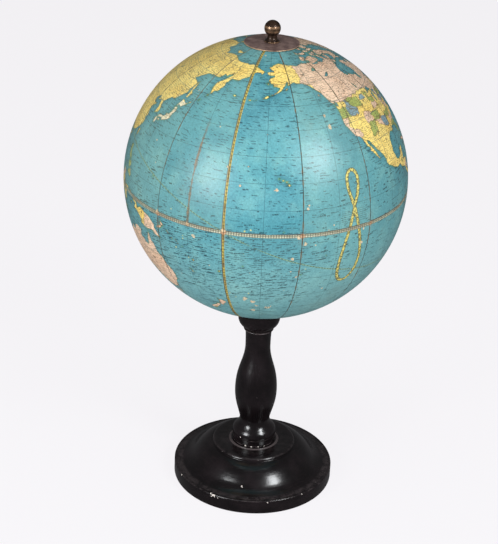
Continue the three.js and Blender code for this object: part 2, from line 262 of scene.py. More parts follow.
def between(tree, value, start, end):
    """0 at start and 1 at end, smooth between them and level outside them. start may be the larger."""
    node = tree.nodes.new("ShaderNodeMapRange")
    node.interpolation_type = "SMOOTHSTEP"
    put(tree, node.inputs["Value"], value)
    node.inputs["From Min"].default_value = start
    node.inputs["From Max"].default_value = end
    return node.outputs["Result"]


def over(tree, share, under, upper, how="MIX"):
    """A colour laid over another, by a share from 0 to 1."""
    node = tree.nodes.new("ShaderNodeMix")
    node.data_type = "RGBA"
    node.blend_type = how
    put(tree, node.inputs[0], share)
    put(tree, node.inputs[6], under)
    put(tree, node.inputs[7], upper)
    return node.outputs[2]


def stained(tree, colour, share, strength, shade):
    """A colour with another laid over it at some strength, where a share is 1."""
    return over(tree, op(tree, "MULTIPLY", share, strength), colour, shade)


def place_in(tree, stretch=(1, 1, 1)):
    """Object coordinates, stretched along X, Y and Z."""
    source = tree.nodes.new("ShaderNodeTexCoord").outputs["Object"]
    node = tree.nodes.new("ShaderNodeMapping")
    tree.links.new(source, node.inputs["Vector"])
    node.inputs["Scale"].default_value = stretch
    return node.outputs["Vector"]


def parts_of(tree, where):
    """The X, Y and Z of a place."""
    node = tree.nodes.new("ShaderNodeSeparateXYZ")
    tree.links.new(where, node.inputs[0])
    return node.outputs


def from_axis(tree, parts):
    """The distance of a place from the upright axis."""
    return op(tree, "SQRT", op(tree, "ADD", *(op(tree, "POWER", parts[axis], 2) for axis in "XY")))


def cloud(tree, where, scale, detail=3.0, rough=0.55):
    """Smooth noise from 0 to 1."""
    node = tree.nodes.new("ShaderNodeTexNoise")
    tree.links.new(where, node.inputs["Vector"])
    node.inputs["Scale"].default_value = scale
    node.inputs["Detail"].default_value = detail
    node.inputs["Roughness"].default_value = rough
    return node.outputs[0]


def spots(tree, where, scale, size, share):
    """Round spots: one in each cell of that scale, kept in that share of the cells."""
    node = tree.nodes.new("ShaderNodeTexVoronoi")
    tree.links.new(where, node.inputs["Vector"])
    node.inputs["Scale"].default_value = scale
    picked = tree.nodes.new("ShaderNodeSeparateColor")
    tree.links.new(node.outputs["Color"], picked.inputs[0])
    own_size = times(tree, op(tree, "ADD", picked.outputs[1], 0.35), size)
    round_spot = between(tree, op(tree, "SUBTRACT", node.outputs["Distance"], own_size), 0.02, -0.02)
    return times(tree, round_spot, op(tree, "LESS_THAN", picked.outputs[0], share))


def bumped(tree, shader, height, depth):
    """Gives the shader a relief of that depth, in metres."""
    node = tree.nodes.new("ShaderNodeBump")
    node.inputs["Distance"].default_value = depth
    tree.links.new(height, node.inputs["Height"])
    tree.links.new(node.outputs["Normal"], shader.inputs["Normal"])


def flecks(tree, where, chips):
    """Where the lacquer has chipped off: azimuth from the front, radius, height and size of each."""
    ragged = cloud(tree, where, 520, 3, 0.7)
    bare = 0.0
    for azimuth, radius, height, size in chips:
        across = math.radians(azimuth)
        off = tree.nodes.new("ShaderNodeVectorMath")
        off.operation = "DISTANCE"
        tree.links.new(where, off.inputs[0])
        off.inputs[1].default_value = (math.sin(across) * radius, -math.cos(across) * radius, height)
        beyond = op(tree, "MULTIPLY_ADD", ragged, -5 * size, off.outputs["Value"])
        bare = either(tree, between(tree, beyond, -1.4 * size, -1.7 * size), bare)
    return bare


def ebonised(name, worn_and_highlit_edges, chips=(), worn_ring=None):
    """Black lacquer on turned wood. The first list gives (height, half width, strength) of edges painted
    paler, both as wear and as a painted highlight along the turned edge, and worn_ring is (radius,
    half width, strength) of a ring that is rubbed on a level face."""
    material, tree, shader = finish_of(name, 0.25)
    where = place_in(tree)
    parts = parts_of(tree, where)
    patches = cloud(tree, where, 34, 4, 0.6)
    streaks = cloud(tree, place_in(tree, (1, 1, 14)), 60, 3)
    fine = cloud(tree, where, 900, 2)
    colour = over(tree, between(tree, patches, 0.42, 0.72), ink(8, 5, 6), ink(20, 14, 16))
    colour = stained(tree, colour, between(tree, streaks, 0.5, 0.8), 0.35, ink(32, 24, 25))
    wear_and_highlight = 0.0
    for at, half, strength in worn_and_highlit_edges:
        ring = between(tree, away_from(tree, parts["Z"], at), half, 0.0)
        ragged = between(tree, cloud(tree, where, 150, 5, 0.7), 0.36, 0.62)
        wear_and_highlight = either(tree, times(tree, times(tree, ring, ragged), strength), wear_and_highlight)
    if worn_ring:
        at, half, strength = worn_ring
        rubbed = between(tree, away_from(tree, from_axis(tree, parts), at), half, half * 0.3)
        wear_and_highlight = either(tree, times(tree, rubbed, strength), wear_and_highlight)
    # Paler brown on the edges and the rubbed ring: wear, with a painted highlight along the turned edges.
    colour = over(tree, wear_and_highlight, colour, ink(112, 100, 100))
    nicks = times(tree, between(tree, cloud(tree, where, 420, 3, 0.7), 0.68, 0.74), wear_and_highlight)
    pinholes = times(tree, spots(tree, where, 130, 0.07, 0.03), 0.6)
    bare = either(tree, either(tree, flecks(tree, where, chips), pinholes), nicks)
    colour = over(tree, bare, colour, ink(214, 204, 196))
    tree.links.new(colour, shader.inputs["Base Color"])
    dull = op(tree, "MULTIPLY_ADD", patches, 0.2, 0.12)
    dull = op(tree, "MULTIPLY_ADD", wear_and_highlight, 0.22, dull)
    tree.links.new(op(tree, "MULTIPLY_ADD", bare, 0.4, dull), shader.inputs["Roughness"])
    relief = op(tree, "MULTIPLY_ADD", fine, 0.05, times(tree, patches, 0.55))
    relief = op(tree, "MULTIPLY_ADD", streaks, 0.16, relief)
    bumped(tree, shader, op(tree, "MULTIPLY_ADD", bare, -0.7, relief), 0.0006)
    shader.inputs["Specular IOR Level"].default_value = 0.5
    shader.inputs["Coat Weight"].default_value = 0.25
    shader.inputs["Coat Roughness"].default_value = 0.16
    return material


base_low, base_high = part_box("base")
felt_low, felt_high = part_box("foot_felt")
stem_low, stem_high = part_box("stem")
base_edge = base_high[0]
boss_top = base_high[2]
wood_low = base_low[2]
RIM_HEIGHT = 0.0165
RIM_LAND = 0.006
BOSS_RADIUS = 0.0475
BOSS_HEIGHT = 0.0044
PLINTH_RADIUS = 0.0242
TENON_RADIUS = 0.0123
FELT_RADIUS = felt_high[0] + 0.0003
rim_top = wood_low + RIM_HEIGHT
dome_foot = rim_top - 0.0003
dome_out = base_edge - RIM_LAND
dome_top = boss_top - BOSS_HEIGHT
dome_in = BOSS_RADIUS + 0.0011
dome_span = dome_out - dome_in
dome_rise = dome_top - dome_foot
turn_out, turn_up = dome_in + dome_span * 0.553, dome_foot + dome_rise * 0.357
ROD_HOLE = 0.0035
pocket_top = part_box("base_washer")[1][2] + 0.0003
felt_seat = felt_high[2] + 0.0003
mortise_low = stem_low[2] - 0.0003

base_profile = [
    (ROD_HOLE, pocket_top),
    (0.014, pocket_top),
    (0.014, felt_seat),
    (FELT_RADIUS, felt_seat),
    (FELT_RADIUS, wood_low),
    *arc((base_edge - 0.0012, wood_low + 0.0012), 0.0012, -90, 0, 6),
    *arc((base_edge - 0.0013, rim_top - 0.0013), 0.0013, 0, 84, 8),
    (base_edge - 0.0028, rim_top - 0.00002),
    *arc((base_edge - 0.0036, rim_top + 0.0004), 0.0008, -50, -130, 5),
    (dome_out, dome_foot - 0.00005),
    *sweep(
        (dome_out - 0.0004, dome_foot),
        (dome_out - dome_span * 0.176, dome_foot + dome_rise * 0.012),
        (turn_out + dome_span * 0.111, turn_up - dome_rise * 0.205),
        (turn_out, turn_up),
        26,
    ),
    *sweep(
        (turn_out - dome_span * 0.006, turn_up + dome_rise * 0.011),
        (turn_out - dome_span * 0.122, turn_up + dome_rise * 0.225),
        (dome_in + dome_span * 0.241, dome_top - dome_rise * 0.078),
        (dome_in, dome_top),
        30,
    ),
    *arc((BOSS_RADIUS + 0.0008, dome_top + 0.0007), 0.0008, -90, -180, 6),
    *arc((BOSS_RADIUS - 0.0026, boss_top - 0.0033), 0.0026, 0, 78, 12),
    *sweep(
        (BOSS_RADIUS - 0.0032, boss_top - 0.0007),
        (BOSS_RADIUS - 0.009, boss_top - 0.0003),
        (PLINTH_RADIUS + 0.009, boss_top - 0.0012),
        (PLINTH_RADIUS + 0.0031, boss_top - 0.0006),
        18,
    ),
    *arc((PLINTH_RADIUS + 0.0024, boss_top - 0.0008), 0.0008, 40, 110, 5),
    (PLINTH_RADIUS + 0.0004, boss_top - 0.0002),
    (TENON_RADIUS, boss_top - 0.0002),
    (TENON_RADIUS, mortise_low),
    (ROD_HOLE, mortise_low),
]
BASE_CHIPS = (
    (-30, 0.0905, 0.0166, 0.0011), (-27.5, 0.0912, 0.0158, 0.0013), (-25.6, 0.0906, 0.0165, 0.0007),
    (-24, 0.0913, 0.0146, 0.0005), (-29, 0.0915, 0.0138, 0.0005), (-9, 0.072, 0.0232, 0.0011),
    (-11, 0.074, 0.0222, 0.0005), (27, 0.08, 0.0195, 0.0006), (58, 0.086, 0.0175, 0.0008),
    (12, 0.0914, 0.0155, 0.0005), (39, 0.0911, 0.0161, 0.0006), (-62, 0.0911, 0.0162, 0.0007),
    (-48, 0.0476, 0.0432, 0.0005), (8, 0.0474, 0.0438, 0.0004), (118, 0.0912, 0.0159, 0.0011),
    (171, 0.0915, 0.0128, 0.0008), (-133, 0.0908, 0.0165, 0.0009), (-102, 0.064, 0.0295, 0.0007),
    (146, 0.078, 0.0203, 0.0009), (-165, 0.0472, 0.0441, 0.0006),
)
# Paler base edges: wear, and a painted highlight along the turned edges.
base_lacquer = ebonised(
    "ebonised_base",
    [(rim_top - 0.0004, 0.0009, 0.15), (boss_top - 0.0013, 0.001, 0.12), (wood_low + 0.0004, 0.0008, 0.35)],
    BASE_CHIPS,
    (0.0274, 0.0021, 0.36),
)
base = turned("turned_base", base_profile, [base_lacquer], 200)
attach(base, "stand")
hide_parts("base")

# ---- Foot felt --------------------------------------------------------------------------------
# A round of dark green wool felt, glued into a recess so that it stands a little proud of the wood.


def woolly(name, colour, pale):
    """Pressed wool felt: tangled fibres, mottled, without gloss."""
    material, tree, shader = finish_of(name, 0.95)
    where = place_in(tree)
    tangle = cloud(tree, where, 1500, 4, 0.75)
    blotch = cloud(tree, where, 60, 3)
    mixed = over(tree, between(tree, tangle, 0.3, 0.7), colour, pale)
    mixed = stained(tree, mixed, between(tree, blotch, 0.45, 0.7), 0.4, ink(96, 92, 70))
    tree.links.new(mixed, shader.inputs["Base Color"])
    shader.inputs["Sheen Weight"].default_value = 0.4
    shader.inputs["Sheen Roughness"].default_value = 0.6
    bumped(tree, shader, tangle, 0.0005)
    return material


green_felt = woolly("green_wool_felt", ink(30, 56, 42), ink(52, 84, 64))
foot_radius = felt_high[0]
foot_profile = [
    (0, felt_low[2]),
    (foot_radius - 0.0004, felt_low[2]),
    *arc((foot_radius - 0.0004, felt_low[2] + 0.0004), 0.0004, -60, 0, 3),
    (foot_radius, felt_high[2]),
    (0, felt_high[2]),
]
foot = turned("foot_felt_round", foot_profile, [green_felt], 120)
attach(foot, "stand")
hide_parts("foot_felt")

# ---- Stem -------------------------------------------------------------------------------------
# A baluster turned between centres: a plinth with an incised line, a bell, a waist, a long bulge,
# a neck and a thin flared lip. A tenon goes into the base, and a spigot into the cup.

cup_low, cup_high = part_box("cup")
stem_foot = boss_top + 0.0003
stem_top = cup_low[2] - 0.0003
bell_low = stem_foot + 0.0077
waist = stem_foot + 0.028
neck = stem_top - 0.024
lip_low = stem_top - 0.0013
NECK_RADIUS = 0.0142
BULGE_RADIUS = 0.024
WAIST_RADIUS = 0.0172
BELL_RADIUS = 0.0251
LIP_RADIUS = 0.0169
SPIGOT_RADIUS = 0.008


def along(share):
    """A level between the waist and the neck."""
    return waist + (neck - waist) * share


stem_profile = [
    (ROD_HOLE, stem_low[2]),
    (0.012, stem_low[2]),
    (0.012, stem_foot),
    (PLINTH_RADIUS - 0.0004, stem_foot),
    *arc((PLINTH_RADIUS - 0.0004, stem_foot + 0.0004), 0.0004, -90, 0, 4),
    (PLINTH_RADIUS - 0.0002, bell_low - 0.0008),
    (PLINTH_RADIUS - 0.0009, bell_low - 0.0003),
    (PLINTH_RADIUS - 0.0006, bell_low + 0.0001),
    *arc((BELL_RADIUS - 0.0016, bell_low + 0.0018), 0.0016, -75, 8, 8),
    *sweep(
        (BELL_RADIUS, bell_low + 0.0024),
        (BELL_RADIUS + 0.0001, bell_low + 0.0108),
        (WAIST_RADIUS + 0.0004, bell_low + 0.011),
        (WAIST_RADIUS, waist),
        26,
    ),
    *sweep(
        (WAIST_RADIUS - 0.00001, waist + 0.0004),
        (WAIST_RADIUS + 0.001, along(0.09)),
        (BULGE_RADIUS, along(0.216)),
        (BULGE_RADIUS, along(0.395)),
        30,
    ),
    *sweep(
        (BULGE_RADIUS, along(0.395)),
        (BULGE_RADIUS, along(0.7)),
        (NECK_RADIUS + 0.0009, along(0.78)),
        (NECK_RADIUS, neck),
        36,
    ),
    *sweep(
        (NECK_RADIUS, neck),
        (NECK_RADIUS, neck + 0.01),
        (NECK_RADIUS + 0.0003, lip_low - 0.004),
        (NECK_RADIUS + 0.0008, lip_low - 0.0012),
        12,
    ),
    *sweep(
        (NECK_RADIUS + 0.0008, lip_low - 0.0012),
        (NECK_RADIUS + 0.001, lip_low - 0.0002),
        (LIP_RADIUS - 0.0014, lip_low - 0.0001),
        (LIP_RADIUS - 0.0007, lip_low),
        6,
    ),
    *arc((LIP_RADIUS - 0.00064, stem_top - 0.00064), 0.00064, -80, 80, 8),
    (SPIGOT_RADIUS, stem_top),
    (SPIGOT_RADIUS, stem_high[2]),
    (ROD_HOLE, stem_high[2]),
]
STEM_CHIPS = (
    (-22, 0.0242, 0.0468, 0.0007), (-6, 0.0242, 0.0464, 0.0008), (14, 0.0242, 0.0466, 0.0005),
    (31, 0.0242, 0.0463, 0.0007), (4, 0.0239, 0.112, 0.0005), (-38, 0.0251, 0.0562, 0.0005),
    (154, 0.0242, 0.0466, 0.0008), (-140, 0.0236, 0.098, 0.0007),
)
# Paler stem edges: wear, and a painted highlight along the turned edges.
stem_lacquer = ebonised(
    "ebonised_stem",
    [(stem_foot + 0.0005, 0.0009, 0.5), (bell_low, 0.001, 0.3), (stem_top - 0.0006, 0.0012, 0.4)],
    STEM_CHIPS,
)
stem = turned("turned_stem", stem_profile, [stem_lacquer], 128)
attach(stem, "stand")
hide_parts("stem")

# ---- Cup and its felt -------------------------------------------------------------------------
# A turned bowl glued on the stem's spigot. Its dished top carries the ball on a ring of felt,
# and a pocket in it holds the nut that clamps rod, cup, stem and base together.

CUP_RADIUS = cup_high[0]
CUP_FOOT = 0.014
seat_felt_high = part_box("seat_felt")[1]
washer_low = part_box("cup_washer")[0][2]
cup_pocket_floor = washer_low - 0.0003
CUP_POCKET = 0.012


def under_ball(radius, below):
    """Height of a sphere that lies that far under the ball's skin, at a distance from the axis."""
    return equator_height - math.sqrt((ball_radius + below) ** 2 - radius**2)


SEAT_GAP = 0.0022
seat_radii = [CUP_RADIUS - 0.0011 * i for i in range(1, 11)]
cup_profile = [
    (SPIGOT_RADIUS + 0.0003, cup_low[2]),
    (CUP_FOOT - 0.0005, cup_low[2]),
    *sweep(
        (CUP_FOOT + 0.0002, cup_low[2] + 0.0003),
        (CUP_RADIUS - 0.0034, cup_low[2] + 0.004),
        (CUP_RADIUS - 0.0005, cup_low[2] + 0.0075),
        (CUP_RADIUS - 0.0004, cup_low[2] + 0.014),
        24,
    ),
    *sweep(
        (CUP_RADIUS - 0.0003, cup_low[2] + 0.0155),
        (CUP_RADIUS, cup_low[2] + 0.0215),
        (CUP_RADIUS, under_ball(CUP_RADIUS, SEAT_GAP) - 0.003),
        (CUP_RADIUS - 0.0001, under_ball(CUP_RADIUS, SEAT_GAP) - 0.0008),
        8,
    ),
    *((r, under_ball(r, SEAT_GAP)) for r in seat_radii),
    (CUP_POCKET, under_ball(CUP_POCKET, SEAT_GAP)),
    (CUP_POCKET, cup_pocket_floor),
    (ROD_HOLE, cup_pocket_floor),
    (ROD_HOLE, stem_high[2] + 0.0003),
    (SPIGOT_RADIUS + 0.0003, stem_high[2] + 0.0003),
]
# Paler cup edges: wear, and a painted highlight along the turned edges.
cup_worn_and_highlit_edges = [(cup_low[2] + 0.0006, 0.0009, 0.3), (cup_high[2] - 0.001, 0.002, 0.4)]
cup_lacquer = ebonised("ebonised_cup", cup_worn_and_highlit_edges)
cup = turned("turned_cup", cup_profile, [cup_lacquer], 128)
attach(cup, "stand")
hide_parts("cup")

liner_in, liner_out = CUP_POCKET + 0.0008, seat_felt_high[0]
liner_radii = [liner_in + (liner_out - liner_in) * i / 8 for i in range(9)]
liner_profile = [
    *((r, under_ball(r, 0.0019)) for r in liner_radii),
    *((r, under_ball(r, 0.0003)) for r in reversed(liner_radii)),
]
liner = turned("seat_felt_ring", liner_profile, [green_felt], 96)
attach(liner, "stand")
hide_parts("seat_felt")

# ---- Rod, nuts and washers --------------------------------------------------------------------
# A quarter-inch steel rod runs from a pocket under the base to the knob. A nut and a washer at its
# foot and in the cup pull the stand together. Steel with turning marks, oil stains and some rust.


def dressed(nodes, material):
    """Pieces whose shape is already right keep it, and only get their finish."""
    for name in nodes:
        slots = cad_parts[name].data.materials
        slots.clear()
        slots.append(material)


def metal(name, colour, dark, roughness, marks, rust=0.0):
    """Bare metal, with marks from the tool in rings along Z, and tarnish in patches."""
    material, tree, shader = finish_of(name, roughness, 1.0)
    where = place_in(tree)
    rings = cloud(tree, place_in(tree, (1, 1, marks)), 90, 2)
    patches = cloud(tree, where, 160, 4, 0.65)
    shade = over(tree, between(tree, patches, 0.4, 0.7), colour, dark)
    rusty = between(tree, cloud(tree, where, 260, 5, 0.7), 0.55, 0.7)
    shade = stained(tree, shade, rusty, rust, ink(120, 66, 36))
    tree.links.new(shade, shader.inputs["Base Color"])
    tree.links.new(op(tree, "MULTIPLY_ADD", rings, 0.25, roughness - 0.1), shader.inputs["Roughness"])
    bumped(tree, shader, rings, 0.00008)
    return material


bright_steel = metal("turned_steel", ink(176, 176, 180), ink(120, 118, 118), 0.34, 22, 0.3)
dressed(["rod", "base_nut", "base_washer", "cup_nut", "cup_washer"], bright_steel)

# ---- Inside the ball --------------------------------------------------------------------------
# Two half shells of pressed pasteboard, joined over a hoop of the same board. A turned block is
# glued in at each pole, with a flanged brass bush, and a board tube between them takes the squeeze.

pasteboard, tree, shader = finish_of("pressed_pasteboard", 0.9)
where = place_in(tree)
fibres = cloud(tree, place_in(tree, (1, 1, 3)), 700, 4, 0.7)
clumps = cloud(tree, where, 45, 3)
board = over(tree, between(tree, fibres, 0.3, 0.72), ink(128, 106, 80), ink(164, 142, 112))
board = stained(tree, board, between(tree, clumps, 0.45, 0.75), 0.5, ink(112, 92, 72))
tree.links.new(board, shader.inputs["Base Color"])
bumped(tree, shader, fibres, 0.0003)
dressed(["shell_north", "shell_south", "equator_hoop", "core_tube"], pasteboard)

bare_wood, tree, shader = finish_of("bare_turned_wood", 0.6)
growth = tree.nodes.new("ShaderNodeTexWave")
growth.wave_type = "RINGS"
growth.rings_direction = "X"
tree.links.new(place_in(tree, (0.3, 1, 1)), growth.inputs["Vector"])
growth.inputs["Scale"].default_value = 130
growth.inputs["Distortion"].default_value = 4
growth.inputs["Detail"].default_value = 3
pores = cloud(tree, place_in(tree, (0.08, 1, 1)), 1400, 3, 0.7)
timber = over(tree, growth.outputs["Fac"], ink(196, 158, 106), ink(168, 124, 78))
timber = stained(tree, timber, between(tree, pores, 0.58, 0.75), 0.6, ink(120, 84, 52))
tree.links.new(timber, shader.inputs["Base Color"])
bumped(tree, shader, pores, 0.0002)
dressed(["pole_block_north", "pole_block_south"], bare_wood)

plain_brass = metal("plain_brass", ink(196, 164, 96), ink(140, 108, 62), 0.36, 14)
dressed(["pole_bush_north", "pole_bush_south"], plain_brass)

# ---- Map gores --------------------------------------------------------------------------------
# Twenty-four lunes of printed map paper, 30 degrees wide, damped and glued edge to edge over the
# shell, twelve to each half, from the equator to a small opening round the pole, then varnished.

SEAM_GAP = 0.00005
PAPER = 0.0003
GORES = 12
GORE_DEGREES = 360 / GORES
FRONT_MERIDIAN = -165.0
COLUMNS, ROWS = 60, 160
NORTH_OPENING, SOUTH_OPENING = 0.027, 0.012
UNEVEN = 0.00012


def tree_socket(tree, name, kind, value):
    """A named input of a Geometry Nodes tree, with its first value."""
    socket = tree.interface.new_socket(name, in_out="INPUT", socket_type=kind)
    if value is not None:
        socket.default_value = value
    return socket


gore_tree = bpy.data.node_groups.new("paper_gore", "GeometryNodeTree")
gore_tree.interface.new_socket("Gore", in_out="OUTPUT", socket_type="NodeSocketGeometry")
for name, kind, value in (
    ("Radius", "NodeSocketFloat", ball_radius),
    ("Equator Height", "NodeSocketFloat", equator_height),
    ("Middle Longitude", "NodeSocketFloat", FRONT_MERIDIAN),
    ("Width", "NodeSocketFloat", GORE_DEGREES),
    ("Side", "NodeSocketFloat", 1.0),
    ("Opening", "NodeSocketFloat", NORTH_OPENING),
    ("Seam Gap", "NodeSocketFloat", SEAM_GAP),
    ("Unevenness", "NodeSocketFloat", UNEVEN),
    ("Seed", "NodeSocketFloat", 0.0),
    ("Columns", "NodeSocketInt", COLUMNS),
    ("Rows", "NodeSocketInt", ROWS),
    ("Paper", "NodeSocketMaterial", None),
):
    tree_socket(gore_tree, name, kind, value)
given = gore_tree.nodes.new("NodeGroupInput").outputs


def step(kind, **settings):
    """A node of the gore's tree."""
    node = gore_tree.nodes.new(kind)
    for key, value in settings.items():
        setattr(node, key, value)
    return node


def rule(operation, *values):
    """One sum in the gore's tree."""
    return op(gore_tree, operation, *values)


flat = step("GeometryNodeMeshGrid")
flat.inputs["Size X"].default_value = 1
flat.inputs["Size Y"].default_value = 1
gore_tree.links.new(rule("ADD", given["Columns"], 1), flat.inputs["Vertices X"])
gore_tree.links.new(rule("ADD", given["Rows"], 1), flat.inputs["Vertices Y"])
place = step("ShaderNodeSeparateXYZ")
gore_tree.links.new(step("GeometryNodeInputPosition").outputs[0], place.inputs[0])
across, upward = place.outputs["X"], rule("ADD", place.outputs["Y"], 0.5)
gap_angle = rule("DIVIDE", given["Seam Gap"], given["Radius"])
top_angle = rule("ARCCOSINE", rule("DIVIDE", given["Opening"], given["Radius"]))
latitude = rule("MULTIPLY_ADD", upward, rule("SUBTRACT", top_angle, gap_angle), gap_angle)
latitude = rule("MULTIPLY", latitude, given["Side"])
ring_share = rule("COSINE", latitude)
both_gaps = rule("MULTIPLY", rule("DIVIDE", gap_angle, ring_share), 2)
width = rule("SUBTRACT", rule("RADIANS", given["Width"]), both_gaps)
turn = rule("RADIANS", rule("SUBTRACT", given["Middle Longitude"], FRONT_MERIDIAN))
turn = rule("MULTIPLY_ADD", across, width, turn)
joined = step("ShaderNodeCombineXYZ")
for socket, value in zip(
    joined.inputs,
    (
        rule("MULTIPLY", ring_share, rule("SINE", turn)),
        rule("MULTIPLY", ring_share, rule("MULTIPLY", rule("COSINE", turn), -1)),
        rule("SINE", latitude),
    ),
):
    gore_tree.links.new(value, socket)
puckers = step("ShaderNodeTexNoise", noise_dimensions="4D")
gore_tree.links.new(joined.outputs[0], puckers.inputs["Vector"])
gore_tree.links.new(given["Seed"], puckers.inputs["W"])
puckers.inputs["Scale"].default_value = 9
puckers.inputs["Detail"].default_value = 2
skin = rule("SUBTRACT", given["Radius"], rule("MULTIPLY", puckers.outputs[0], given["Unevenness"]))
spread = step("ShaderNodeVectorMath", operation="SCALE")
gore_tree.links.new(joined.outputs[0], spread.inputs[0])
gore_tree.links.new(skin, spread.inputs["Scale"])
lift = step("ShaderNodeCombineXYZ")
gore_tree.links.new(given["Equator Height"], lift.inputs["Z"])
placed = step("ShaderNodeVectorMath", operation="ADD")
gore_tree.links.new(spread.outputs[0], placed.inputs[0])
gore_tree.links.new(lift.outputs[0], placed.inputs[1])
laid = step("GeometryNodeSetPosition")
gore_tree.links.new(flat.outputs["Mesh"], laid.inputs["Geometry"])
gore_tree.links.new(placed.outputs[0], laid.inputs["Position"])
outward = step("GeometryNodeFlipFaces")
gore_tree.links.new(laid.outputs[0], outward.inputs["Mesh"])
southern = step("FunctionNodeCompare", data_type="FLOAT", operation="LESS_THAN")
gore_tree.links.new(given["Side"], southern.inputs["A"])
gore_tree.links.new(southern.outputs[0], outward.inputs["Selection"])
smooth = step("GeometryNodeSetShadeSmooth")
gore_tree.links.new(outward.outputs[0], smooth.inputs["Geometry"])
whole = step("GeometryNodeRealizeInstances")
gore_tree.links.new(smooth.outputs[0], whole.inputs["Geometry"])
papered = step("GeometryNodeSetMaterial")
gore_tree.links.new(whole.outputs[0], papered.inputs["Geometry"])
gore_tree.links.new(given["Paper"], papered.inputs["Material"])
gore_tree.links.new(papered.outputs[0], step("NodeGroupOutput").inputs["Gore"])
